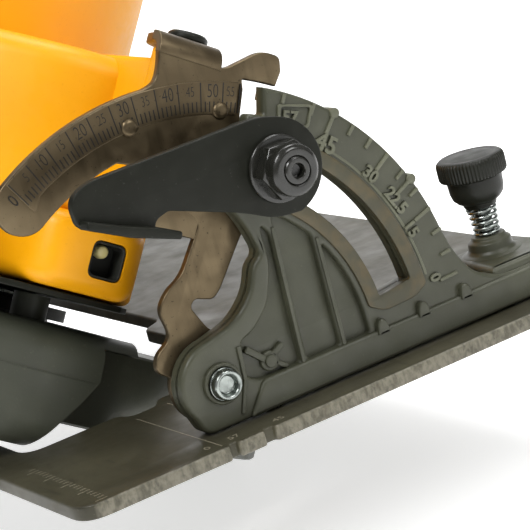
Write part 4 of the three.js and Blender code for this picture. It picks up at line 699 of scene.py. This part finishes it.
def quadrant_marks():
    """Raised ticks, figures, the framed top figure and its pointer, in a lighter paint that is a painted
    highlight, with a dark edging round the figures that is partly dirt and partly painted shade.
    """
    reach = QUADRANT_RADIUS - 0.5
    solids = [filled([sector(65.0, 65.8, 5, 62)], -0.2, 1.0, 0.15)]
    for mark in LONG_TICKS:
        start = 71.9 if mark == 57 else 68.8
        solids.append(tick(start, reach, QUADRANT_ZERO + mark, 0.45, -0.65, 1.2, 0.2))
    for mark in SHORT_TICKS:
        solids.append(tick(71.4, reach, QUADRANT_ZERO + mark, 0.42, -0.65, 1.2, 0.2))
    for mark in (45, 22.5):
        solids.append(filled([circle(1.4, polar(74.6, QUADRANT_ZERO + mark), 20)], -0.7, 4.6, 0.45))
    figures = (("57", 4.4, 57.0, 69.0, -22), ("45", 6.4, 46.4, 66.4, -40), ("30", 4.6, 33.0, 66.9, -55),
               ("22.5", 4.6, 24.0, 67.4, -64), ("15", 4.5, 16.4, 66.6, -73), ("0", 4.2, 3.5, 67.5, -86))
    shade_halo = []
    for words, size, angle, radius, turn in figures:
        place = polar(radius, angle)
        # A wider dark copy behind each figure: painted shade round its foot, partly dirt.
        shade_halo.append(lettering(words, size, place, turn, 0.5, 0.2, 0.34))
        solids.append(lettering(words, size, place, turn, 1.4, -0.05, 0.16))
    frame_outside = [(35.2, 62.2, 1.0), (45.0, 59.0, 1.0), (42.2, 53.6, 1.0), (33.5, 56.6, 1.0)]
    frame_inside = [(36.0, 61.3, 0.7), (44.0, 58.6, 0.7), (41.8, 54.4, 0.7), (34.4, 57.0, 0.7)]
    solids.append(filled([rounded(frame_outside), rounded(frame_inside)], -0.6, 1.0, 0.2))
    triangle = [(30.4, 61.2), (28.2, 58.2), (32.6, 57.0)]
    core = [(30.4, 60.1), (29.2, 58.6), (31.7, 57.9)]
    solids.append(filled([triangle, core], -0.6, 1.0, 0.15))
    piece("figure_edge_shade", shade_halo, "shoe", [], FIGURE_SHADE_AND_DIRT, tilted=False)
    # The raised marks in the lighter paint, a painted highlight.
    piece("raised_marks", solids, "shoe", [], LIT_MARK_PAINT, tilted=False)


def make_quadrant():
    """The casting's face and marks, its foot with the fence bar's tunnel, the knob's boss and the land."""
    quadrant_marks()
    solids = quadrant_face()
    foot = rounded([(8, 0.8, 1), (111, 0.8, 1), (111, 6.4, 3), (106.2, 8.2, 2), (106.2, 10), (87.8, 10),
                    (87.8, 7, 2), (80, 5, 3), (8, 5, 2)])
    solids.append(filled([foot], -11.6, -4.4, 0.8, "Z"))
    top = rounded([(86.0, 1.0, 1), (111, 1.0, 1), (109, 26, 4), (87.8, 26, 4)])
    solids.append(filled([top, circle(FENCE_BORE, FENCE)], -7.3, -0.4, 1.6, "Z", 4))
    back = rounded([(87.8, 23, 0.6), (106.2, 23, 0.6), (106.2, 26, 1.5), (87.8, 26, 1.5)])
    solids.append(filled([back], -11.6, -5.0, 0.4, "Z"))
    flare = [(FENCE_BORE, -1.0), (8.6, -1.0), (8.4, -0.35), (6.9, 0.1), (6.2, 1.0), (6.0, 3.0), (4.9, 3.7),
             (4.7, 4.6), (FENCE_BORE, 4.6)]
    points, faces = turned_tube(flare)
    solids.append((points[:, (0, 2, 1)] + [*FENCE, 0], faces))
    piece("quadrant_casting", solids, "shoe", ["bevel_quadrant"], CAST, tilted=False)
    inner, outer = SLOT_INNER + LAND_LAP, SLOT_OUTER - LAND_LAP
    land = rounded([
        *arc(LAND_OUTER, 66, 5, 60), (*polar(LAND_OUTER, 3.4), 1.2), (*polar(60.5, 1.4), 2.0),
        (*polar(50.5, 1.2), 2.0), (*polar(LAND_INNER, 4.5), 1.6), *arc(LAND_INNER, 7, 66, 60),
        *arc(inner, 66, 9, 50), (*polar(inner, 6.1), 0.8), (*polar(outer, 6.3), 1.0),
        *arc(outer, 9, 66, 50)])
    piece("worn_land", [filled([land], -0.8, 0.8, 0.3)], "shoe", [], LAND, tilted=False)


# ---- front bracket --------------------------------------------------------------------------------
def make_bracket():
    """Bent steel plate with its raised arc, its two ears and the fold to one of them. The fold is a
    quarter turn of a circle on each face."""
    edge = rounded([
        *arc(11, 100, 350, 40),
        (13, 4.6, 1), (16.6, 10.3, 3), (18.9, 9.8, 2), (20, 4.4, 2), (23, 3.3, 2), (38.5, 1.2, 3),
        (46, -1.5, 3), (62, -2.2, 4), (66.4, 4, 2), polar(67, 8.5), polar(74, 8.5),
        (*polar(76.6, 9), 2.5), *arc(76.4, 8, 1.6, 4),
        (80.4, 1.6, 0.5), (84, 3, 1.5), (84, 8.5, 3), (77.5, 16.5, 3), (76.6, 18.5), (76.6, 36.6),
        (73, 35.7, 3), (68.4, 35.4, 2.4), *arc(PLATE_RADIUS, 30.2, 64, 40),
        *arc(7.35, 66, 240, 20, polar(68.6, 64)),
        *arc(PLATE_INNER, 63, 41, 24),
        (47, 36.1, 2), (44.5, 32, 3), (40.5, 22, 3), (38.2, 13.6, 3), (23.6, 15, 5), (18.6, 18.2, 4),
        (13.6, 18.8, 3), (8.2, 13.4, 3), (2.5, 16.3, 2), (-1.5, 15.2, 2),
    ])
    holes = [circle(PIVOT_BORE), circle(STUD_BORE, STUD), circle(1.6, (50.4, 26.4), 24)]
    solids = [filled([edge] + holes, PLATE_FRONT + 0.25, PLATE_BACK, 0.4, segments=3)]
    band = rounded([*arc(75.6, 63.4, 9.6, 60), (*polar(67.2, 9.6), 0.8),
                    *arc(67.2, 11, 60, 60), (*polar(64.6, 63.4), 2)])
    button_hole = circle(1.9, BUTTONS[0], 24)
    solids.append(filled([band, button_hole], PLATE_FRONT, PLATE_FRONT + 1.2, 0.25, segments=3))
    for left, right, front, low, high in ((79.0, 81.6, 11.8, 18.5, 36.0), (33.4, 36.0, 7.0, 14.0, 34.0)):
        ear = [(front, low, 1), (18, 14.5), *arc(10, -70, 70, 24, DEPTH_AXIS), (18, 34), (front, high, 1)]
        solids.append(filled([rounded(ear), circle(3.65, DEPTH_AXIS)], left, right, 0.35, "X"))
    bend = np.radians(np.linspace(0, 90, 13))
    outer = [(76.6 + 5.0 * math.sin(t), 11.5 - 5.0 * math.cos(t)) for t in bend]
    inner = [(76.6 + 2.4 * math.sin(t), 11.5 - 2.4 * math.cos(t)) for t in reversed(bend)]
    fold = [(76.0, PLATE_FRONT), *outer, (81.6, 12.5), (79.0, 12.5), *inner, (76.0, PLATE_BACK)]
    solids.append(filled([fold], 18.5, 36.6, 0.3, "Z", 3))
    solids.append(filled([[(33.4, 14), (42, 14), (42, 34), (33.4, 34)]], 6.9, 8.9, 0.2))
    piece("bracket_plate", solids, "bevel_frame", ["front_bracket"], BRONZE)


def make_bracket_scale():
    """Stamped marks a degree apart, the one before the last left out, and a figure at each fifth."""
    front = PLATE_FRONT - 0.02
    marks = []
    for mark in (*range(54), 55):
        angle = SCALE_LAST if mark == 55 else SCALE_ZERO - mark
        outer = 70.5 if mark % 5 else 75.3
        marks.append(tick(SCALE_INNER, outer, angle, 0.17, front, PLATE_FRONT + 0.3, 0.02))
    for mark in range(0, 60, 5):
        size = 3.7 if mark % 10 else 5.0
        angle = SCALE_ZERO - min(mark, 54) + (2.3 if mark > 5 else 1.5)
        place = polar(73.0 if mark else 71.5, angle)
        marks.append(lettering(str(mark), size, place, angle - 90, 0.3, PLATE_FRONT + 0.13, -0.05, 0.68))
    piece("bracket_scale", marks, "bevel_frame", [], STAMP)


def make_bracket_pins():
    """Domed buttons on the plate, and the headed pin through its ears, each a turned profile."""
    button = [(0, 5.55), (1.3, 5.65), (2.0, 6.0), (2.3, 6.6), (2.3, 9.0), (0, 9.0)]
    for i, (u, w) in enumerate(BUTTONS, 1):
        dome = turned(button, "Y", (u, 0, w), 32)
        piece(f"bracket_dome_{i}", [dome], "bevel_frame", [f"bracket_button_{i}"], BRONZE)
    pin = turned([(0, 31.8), (3.5, 31.8), (3.5, 81.9), (5.2, 81.95), (5.2, 83.2), (4.2, 84.0), (0, 84.0)], "X",
                 (0, *DEPTH_AXIS))
    piece("hinge_pin", [pin], "bevel_frame", ["depth_pivot_pin"], BLACK)


# ---- clamp --------------------------------------------------------------------------------------
def untilted(solid):
    """A solid drawn about the stud in the room's own axes, turned back so that the bevel levels it."""
    points, faces = solid
    return leaned(points, -BEVEL) + [STUD[0], 0, STUD[1]], faces


def make_clamp():
    """Pressed lever with a folded lip, its locking nut, stud and stepped washer."""
    edge = rounded([
        (-50, 13.3, 5), (-55.6, 10.5, 4), (-55.2, 3.6, 2), (-44.7, -1.4, 2), (-36.6, -4.6, 1),
        (-35.4, -1.2, 1.4), (-31.5, -0.1, 1), (-12, -7.4, 5), (-4, -11.6, 4),
        *arc(12.6, -75, 70, 30), (-2, 13.8, 4)])
    hexagon = circle(5.2, steps=6)
    plate = filled([edge, hexagon], LEVER_Y, LEVER_Y + LEVER_THICKNESS, 0.4, segments=3)
    fold = rounded([(-55, 3.4, 0.6), (-44.7, -2, 1), (-32, -6.8, 0.8), (-31.4, -5, 0.6), (-36.6, -2.2, 1),
                    (-44, 0.6, 1), (-54.4, 5.4, 0.8)])
    lip = filled([fold], LEVER_Y - 4.5, LEVER_Y + 1.0, 0.6, segments=3)
    lever = [untilted(plate), untilted(lip)]
    piece("clamp_lever", lever, "bevel_clamp", ["bevel_lever"], BLACK)
    back = LEVER_Y - 0.3
    bore = circle(STUD_BORE)
    collar = [(STUD_BORE, back - 9), (5.4, back - 9), (6.4, back - 8.2), (6.6, back - 4.5),
              (STUD_BORE, back - 4.5)]
    flange = [(STUD_BORE, back - 0.9), (8.4, back - 0.9), (8.7, back - 0.05), (STUD_BORE, back - 0.05)]
    solids = [
        filled([circle(7.6, steps=6), bore], back - 5, back, 0.7, segments=3),
        filled([circle(5.05, steps=6), bore], back - 0.5, LEVER_Y + 2.4, 0.2),
        turned_tube(collar), turned_tube(flange),
    ]
    piece("clamp_nut", [untilted(s) for s in solids], "bevel_clamp", ["lever_nut"], DARK_NUT)
    tip = back - 9.4
    shank = turned([(0, tip + 2.5), (1.7, tip + 2.4), (1.9, tip), (3.1, tip), (3.5, tip + 0.5), (3.5, 9.4),
                    (7, 9.41), (7, 12.1), (5.5, 13.1), (0, 13.1)], "Y", (STUD[0], 0, STUD[1]), reach=0.2)
    piece("clamp_stud", [shank], "bevel_frame", ["bevel_stud"], DARK_NUT)
    steps = [(3.65, -15.1), (7.5, -15.1), (7.5, -4.1), (11, -4.09), (11, -1.1), (3.65, -1.1)]
    points, faces = turned_tube(steps)
    washer = points + [STUD[0], 0, STUD[1]], faces
    piece("clamp_washer", [washer], "bevel_frame", ["bevel_washer"], BLACK)


# ---- rivets, knob, spring --------------------------------------------------------------------------
def make_rivets():
    """Rivets with a rolled, dished head, each a turned profile."""
    for name, front, head_back, tail, back in (
            ("front_pivot_rivet", -3.9, -1.5, 9.4, 10.7), ("rear_pivot_rivet", 256.7, 258.8, 268.3, 270.0)):
        body = turned([(0, front + 2.1), (2.3, front + 2.0), (2.7, front + 0.3), (3.1, front), (3.6, front),
                       (3.95, front + 0.5), (4.0, head_back), (4.2, head_back + 0.01), (4.2, tail),
                       (5.7, tail + 0.01), (5.7, back), (0, back)], "Y", (0, 0, 0), reach=0.3)
        piece(name + "_head", [body], "shoe", [name], PLATED, tilted=False)


KNOB_SIDES, KNOB_FLUTES = 480, 60
KNOB_PROFILE = [  # (radius, height, how deep the flutes are there, as a share)
    (0.0, 12.6, 0), (3.9, 12.6, 0), (4.4, 12.8, 0), (4.8, 14.0, 0), (5.9, 14.6, 0), (7.0, 15.8, 0),
    (7.5, 17.6, 0), (7.6, 19.6, 0), (7.7, 20.9, 0), (8.3, 21.3, 0.3), (9.15, 21.5, 1), (9.45, 22.0, 1),
    (9.5, 22.8, 1), (9.5, 25.5, 1), (9.35, 26.2, 1), (8.95, 26.7, 0.4), (8.5, 27.0, 0), (7.4, 27.1, 0),
    (6.9, 27.0, 0), (6.3, 27.08, 0), (3.0, 27.25, 0), (0.0, 27.3, 0),
]


def knob_head():
    """Turned profile whose radius falls by a raised cosine of the turn, once for each flute."""
    turn = np.linspace(0, 2 * np.pi, KNOB_SIDES, endpoint=False)
    flute = 0.28 * (1 + np.cos(turn * KNOB_FLUTES)) / 2
    radius, height, depth = np.array(KNOB_PROFILE[1:-1]).T[:, :, None]
    reach = radius - flute * depth
    ring = np.stack([reach * np.cos(turn), reach * np.sin(turn), height + 0 * turn], -1).reshape(-1, 3)
    poles = [[0, 0, KNOB_PROFILE[0][1]], [0, 0, KNOB_PROFILE[-1][1]]]
    return np.concatenate([ring, poles]) + [*FENCE, 0], poled_faces(len(radius), KNOB_SIDES)


def make_knob():
    """Fluted head, the screw with a helix of wire for its thread, and the spring under it. The spring
    is a helix that widens with the square of its length and lies flat at both ends."""
    piece("knob_head", [knob_head()], "fence_clamp", ["fence_knob"], KNOB, tilted=False)
    thread_turns, spring_turns = 24, 5.4
    turns = np.linspace(0, 2 * np.pi * thread_turns, thread_turns * 16)
    thread = np.column_stack([2.28 * np.cos(turns), 2.28 * np.sin(turns), np.linspace(-6.6, 12.4, len(turns))])
    screw = turned([(0, -7.1), (1.9, -7.1), (2.3, -6.6), (2.3, 12.9), (0, 12.9)], "Z", (*FENCE, 0), 40, 0.1)
    threaded = [screw, swept(thread + [*FENCE, 0], 0.2, 6)]
    piece("knob_screw", threaded, "fence_clamp", [], PLATED, tilted=False)
    t = np.linspace(0, 1, 360)
    lift = np.clip((t - 0.12) / 0.76, 0, 1)
    angle = t * 2 * np.pi * spring_turns
    coil = 3.3 + 0.6 * t ** 2
    wire = np.column_stack([coil * np.cos(angle), coil * np.sin(angle), 5.2 + 6.4 * lift + 0.35 * t])
    spring = swept(wire + [*FENCE, 0], 0.46, 10)
    piece("knob_spring", [spring], "shoe", ["fence_spring"], PLATED, tilted=False)


# ---- shoe -----------------------------------------------------------------------------------------
def make_shoe():
    """Flat plate with its opening, sight notches and screw holes, and its scribed lines and figures."""
    notches = []
    for low, high in ((-8.2, -5.2), (2.0, 5.6)):
        depth = SHOE_FRONT + 1.6
        notches += [(low, SHOE_FRONT, 0.3), (low + 0.6, depth, 0.4)]
        notches += [(high - 0.6, depth, 0.4), (high, SHOE_FRONT, 0.3)]
    edge = rounded([(SHOE_LEFT, SHOE_FRONT, 8), *notches, (SHOE_RIGHT, SHOE_FRONT, 8),
                    (SHOE_RIGHT, SHOE_REAR, 8), (SHOE_LEFT, SHOE_REAR, 8)])
    opening = rounded([(-38, 47, 6), (-10.2, 47, 2), (-8.2, 42, 2), (-1, 42, 2), (2, 47, 2), (34, 47, 6),
                       (34, 115, 2), (41, 119, 2), (41, 256, 6), (-38, 256, 6)])
    screws = [circle(2.15, p, 24) for p in SHOE_SCREWS]
    piece("shoe_deck", [filled([edge, opening] + screws, SOLE, SHOE_TOP, 0.7, "Z", 3)], "shoe",
          ["shoe_plate"], SHOE, tilted=False)
    top = SHOE_TOP - 0.02
    lines = [(x - 0.14, x + 0.14, start, end) for x, start, end in ((-9.0, -9.4, 38), (1.7, 24, 40))]
    for i in range(22):
        y, reach = -9.6 + i * 2.0, 1.8 if i % 5 else 3.4
        lines.append((-42 - reach, -42, y, y + 0.22))
    marks = []
    for left, right, near, far in lines:
        line = [(left, near), (right, near), (right, far), (left, far)]
        marks.append(filled([line], top - 0.2, top + 0.05, 0.02, "Z"))
    for words, x, y in (("0", -11.8, -6.6), ("57", -4.0, -6.6), ("45", 8.8, -7.6)):
        points, faces = lettering(words, 3.4, (x, y), 0, 0.2, 0, 0.02)
        marks.append((np.column_stack([points[:, 0], points[:, 2], top - points[:, 1] - 0.05]), faces))
    piece("shoe_lines", marks, "shoe", [], SCRIBE, tilted=False)


def make_screws():
    """Countersunk screws with a dished head, set into the underside of the shoe."""
    names = ("quadrant_screw_1", "quadrant_screw_2", "rear_ear_screw_1", "rear_ear_screw_2")
    for name, (x, y) in zip(names, SHOE_SCREWS):
        profile = [(0, SOLE + 1.4), (1.2, SOLE + 1.3), (1.5, SOLE + 0.25), (3.7, SOLE + 0.2),
                   (2, SOLE + 2.2), (2, -6.4), (0, -6.4)]
        body = turned(profile, "Z", (x, y, 0), 48, 0.15)
        piece(name + "_shown", [body], "shoe", [name], PLATED, tilted=False)


# ---- motor, gear case, upper guard and the rest ------------------------------------------------------
def motor_loop(inset):
    """Circle round the motor, cut by a flat underneath: the half angle left out is the arc cosine of the
    flat's distance from the axis over the radius."""
    radius, flat = MOTOR_RADIUS - inset, MOTOR_FLAT + inset
    half = math.degrees(math.acos((MOTOR[1] - flat) / radius))
    return arc(radius, half - 90, 270 - half, 90, MOTOR)


def make_motor():
    """Motor housing: a plain sleeve with a flat underneath."""
    sleeve = filled([motor_loop(0), motor_loop(MOTOR_WALL)], 75.3, 145.7, 0.8, "X", 3)
    piece("motor_sleeve", [sleeve], "saw_body", ["motor_housing"], YELLOW)


CASE_BACK = [(118, -7, 18), (145, -10.4, 16), (170, -6, 16), (187, 14, 14), (190, 62, 14), (180, 84, 14),
             (88, 84, 18)]
CASE_TOP = [(34, 13, 8), (62, -2, 14), *CASE_BACK, (54, 70, 14), (36, 44, 12)]
CASE_FOOT = [(56, 6, 4), (62, -2, 8), *CASE_BACK, (68, 72, 8), (62, 40, 4)]
NOSE = [(30, 14, 7), (62, 6, 4), (62, 48, 4), (30, 42.5, 8)]
WINDOW = [(18, 19.5, 2.4), (28, 19.5, 2.4), (28, 29.5, 2.4), (18, 29.5, 2.4)]
WINDOW_MIDDLE = (23.0, 24.5)
BEZEL_FIT = 0.97  # size of the bezel against the window it sits in


def window_loop(share, reach):
    """The window's corners drawn in towards its middle, to a share of the bezel's size."""
    middle = np.array(WINDOW_MIDDLE)
    corners = [middle + (np.array(corner[:2]) - middle) * BEZEL_FIT * share for corner in WINDOW]
    return rounded([(*corner, reach) for corner in corners])


def make_yellow_case():
    """Gear case: shouldered shell, a foot set back behind the lamp nose, the depth barrel and the lamp."""
    solids = [
        shell(CASE_TOP, 31.5, 75, 6),
        turned([(0, 36.3), (7.9, 36.3), (7.9, 78.7), (0, 78.7)], "X", (0, *DEPTH_AXIS), reach=0.8),
        filled([rounded([(18, 18, 3), (50, 15, 3), (50, 33, 3), (18, 31, 3)])], 38, 76, 2.0, "X", 3),
    ]
    piece("gear_shell", solids, "saw_body", ["gear_case"], YELLOW)
    foot = piece("case_foot", [shell(CASE_FOOT, 13, 36, 2.5)], "saw_body", [], YELLOW)
    inlet = rounded([(14.6, 45, 3), (31.2, 45, 3), (31.2, 68, 3), (14.6, 68, 3)])
    hollow(foot, [filled([inlet], 40, 125, 0.1)])
    nose = piece("lamp_nose", [shell(NOSE, 13.4, 33.5, 4.5)], "saw_body", [], YELLOW)
    hollow(nose, [filled([rounded(WINDOW)], 20, 38, 0.1)])
    outer, inner = window_loop(1.0, 2.3), window_loop(0.86, 1.8)
    bezel = [filled([outer, inner], 30.4, 37.6, 0.25), filled([outer], 36.6, 37.6, 0.1)]
    piece("window_bezel", bezel, "saw_body", ["lamp_bezel"], PLASTIC)
    bulge = [(0, 33.4), (1.2, 33.6), (1.7, 34.2), (1.9, 35.4), (1.9, 36.5), (0, 36.5)]
    dome = turned(bulge, "Y", (25.2, 0, WINDOW_MIDDLE[1]), 40)
    piece("window_lens", [dome], "saw_body", ["lamp_lens"], GLASS)


def guard_dome(wall, lip, roll, steps=140, levels=9):
    """Guard moved in by a wall: upper part of a disc round the arbor, its rings set along u. Each ring is
    the circle, moved in by one minus the sine of the roll's angle at both ends, above a sloped edge."""
    left, right, radius = GUARD_LEFT + wall, GUARD_RIGHT - wall, GUARD_RADIUS - wall
    turns = np.radians(np.linspace(0, 90, levels))
    ends, shrink = roll * (1 - np.cos(turns)), roll * (1 - np.sin(turns))
    middle = np.linspace(left + roll, right - roll, 14)[1:-1]
    places = np.concatenate([left + ends, middle, right - ends[::-1]])
    insets = np.concatenate([shrink, 0 * middle, shrink[::-1]])
    rings = []
    for u, inset in zip(places, insets):
        edge = GUARD_EDGE + (GUARD_RIGHT - u) * GUARD_SLOPE - lip
        start = math.degrees(math.asin((edge - ARBOR[1]) / (radius - inset)))
        ring = arc(radius - inset, start, 180 - start, steps - 1, ARBOR)
        rings.append(np.column_stack([np.full(steps, u), ring]))
    return np.concatenate(rings), capped_faces(len(rings), steps)


def hollow(shown, cutters):
    """Cuts each tilted solid in turn out of a finished piece."""
    for points, faces in cutters:
        mesh = placed_mesh("cutter", leaned(points, BEVEL), faces)
        cutter = bpy.data.objects.new("cutter", mesh)
        bpy.context.scene.collection.objects.link(cutter)
        cut = shown.modifiers.new("cut", "BOOLEAN")
        cut.operation = "DIFFERENCE"
        cut.solver = "EXACT"
        cut.object = cutter
        done = bpy.data.meshes.new_from_object(shown.evaluated_get(bpy.context.evaluated_depsgraph_get()))
        shown.modifiers.clear()
        shown.data = done
        bpy.data.objects.remove(cutter)
        bpy.data.meshes.remove(mesh)
    shown.data.set_sharp_from_angle(angle=math.radians(SHARP_ANGLE))


def make_upper_guard():
    """Fixed guard: rolled drum, hollow inside, its front end cut back to a lip, with a seam round the rim."""
    drum = guard_dome(0, 0, 7)
    guard = piece("guard_drum", [drum], "saw_body", ["upper_guard"], GUARD)
    front_end = [(-30, -20), (0.8, -20), (0.8, 11.4), (-8, 10.8), (-14, 14.5), (-30, 26)]
    front_lip = [(0.0, -20), (6, -20), (6, 0.8), (0.0, 0.8)]
    hollow(guard, [
        guard_dome(GUARD_WALL, 6, 4),
        filled([front_end], 30, 78, 0.05),
        filled([front_lip], 30, 60, 0.05),
        turned([(0, -5), (20.6, -5), (20.6, 20), (0, 20)], "X", (0, *ARBOR), reach=0.1),
        turned([(0, -34), (12.5, -34), (12.5, -23), (0, -23)], "X", (0, 196, 70), reach=0.1),
    ])
    seam = [filled([sector(100.4, 101.2, 0.3, 179.7, 160, ARBOR)], -8.6, -8.2, 0.1, "X")]
    for y, w in ((75, 50), (90, 70), (66, 26)):
        seam.append(turned([(0, 3), (5, 3), (5, 10.6), (0, 10.6)], "X", (0, y, w), 40))
    piece("guard_seam", seam, "saw_body", [], GUARD)


def make_everything_else():
    """Nodes whose frame shape already serves, with eased edges and their own finish."""
    finishes = {
        GUARD: ("lower_guard", "rear_pivot_ear"),
        BRONZE: ("rear_bracket", "depth_arm"),
        BLACK: ("gearcase_plate", "blade_bolt"),
        BLADE: ("blade",),
        PLATED: ("guard_spring", "spindle_bearing_front", "spindle_bearing_rear", "motor_bearing_front",
                 "motor_bearing_rear", "handle_screw_1", "handle_screw_2", "depth_clamp_bolt", "inner_flange",
                 "outer_flange", "spindle", "drive_gear", "motor_shaft"),
        YELLOW: ("handle_left", "handle_right"),
        PLASTIC: ("dust_port", "guard_lever", "motor_cap", "trigger", "lock_off_button",
                  "spindle_lock_button", "depth_lever", "battery_mount", "battery_pack", "battery_latch",
                  "cooling_fan"),
        RUBBER: ("handle_grip", "front_handle"),
        CORE: ("stator_core", "rotor_core"),
    }
    eased = {"handle_left": 1.2, "handle_right": 1.2, "handle_grip": 1.0, "battery_pack": 0.5,
             "battery_latch": 0.25, "front_handle": 1.4, "lower_guard": 0.6, "trigger": 0.8, "motor_cap": 0.8,
             "blade": 0.15, "guard_spring": 0.1, "drive_gear": 0.1, "motor_shaft": 0.1, "cooling_fan": 0.2}
    for material, nodes in finishes.items():
        for node in nodes:
            copied(node, material, eased.get(node, 0.35))


make_quadrant()
make_bracket()
make_bracket_scale()
make_bracket_pins()
make_clamp()
make_rivets()
make_knob()
make_shoe()
make_screws()
make_motor()
make_yellow_case()
make_everything_else()
make_upper_guard()


# ---- stage ----------------------------------------------------------------------------------------
FLOOR_DROP = 0.0002  # metres from the lowest point down to the floor


def pale_sheet(name, size, place, upright, material):
    """Square sheet of the stage, turned up from level about X by a number of degrees."""
    bpy.ops.mesh.primitive_plane_add(size=size, location=place, rotation=(math.radians(upright), 0, 0))
    sheet = bpy.context.object
    sheet.name = name
    sheet.data.materials.append(material)
    return sheet


def make_stage():
    """Pale floor under the lowest point, a pale backdrop, three soft lights and a pale sky."""
    pale = bpy.data.materials.new("pale_floor")
    pale.use_nodes = True
    shader = pale.node_tree.nodes["Principled BSDF"]
    shader.inputs["Base Color"].default_value = (0.92, 0.92, 0.92, 1)
    shader.inputs["Roughness"].default_value = 0.9
    shader.inputs["Emission Color"].default_value = (1, 1, 1, 1)
    shader.inputs["Emission Strength"].default_value = 0.62
    floor = pale_sheet("floor", 60, (0, 0, CAD_BOX[0][2] - FLOOR_DROP), 0, pale)
    backdrop = pale_sheet("backdrop", 8, (1.2, 3.4, 2.0), 90, pale)
    world = bpy.data.worlds.new("sky")
    world.use_nodes = True
    world.node_tree.nodes["Background"].inputs["Color"].default_value = (1, 1, 1, 1)
    world.node_tree.nodes["Background"].inputs["Strength"].default_value = 0.24
    bpy.context.scene.world = world
    aim = Vector((0.04, 0.05, 0.05))
    for name, place, size, power in (
            ("key", (-0.6, -0.35, 1.0), 0.4, 10.5), ("fill", (0.5, -0.8, 0.8), 0.5, 6.0),
            ("rim", (0.45, 0.15, 1.1), 0.5, 7.0)):
        light = bpy.data.lights.new(name, "AREA")
        light.size = size
        light.energy = power
        holder = bpy.data.objects.new(name, light)
        holder.location = place
        holder.rotation_mode = "QUATERNION"
        holder.rotation_quaternion = (aim - Vector(place)).to_track_quat("-Z", "Y")
        bpy.context.scene.collection.objects.link(holder)
    bpy.context.scene.view_settings.view_transform = "Standard"


CAMERA_PLACE = (-261.0, -554.6, 178.0)  # millimetres from the bevel pivot
CAMERA_HEADING, CAMERA_DIP, CAMERA_ROLL = 26.8934, 13.8695, -15.0552  # degrees


def make_camera():
    """Long lens off the front left corner, looking down at the quadrant. The camera is rolled about its
    line of sight, lifted from straight down to its dip below level, and turned to its heading."""
    camera = bpy.data.cameras.new("camera")
    camera.lens = 172.45
    camera.sensor_width = 36.0
    camera.clip_start, camera.clip_end = 0.02, 20
    holder = bpy.data.objects.new("camera", camera)
    heading = Matrix.Rotation(-math.radians(CAMERA_HEADING), 4, "Z")
    dip = Matrix.Rotation(math.radians(90 - CAMERA_DIP), 4, "X")
    roll = Matrix.Rotation(math.radians(CAMERA_ROLL), 4, "Z")
    place = (Vector(CAMERA_PLACE) + Vector((0, 0, PIVOT_UP))) * MM
    holder.matrix_world = Matrix.Translation(place) @ heading @ dip @ roll
    bpy.context.scene.collection.objects.link(holder)
    bpy.context.scene.camera = holder


make_stage()
make_camera()
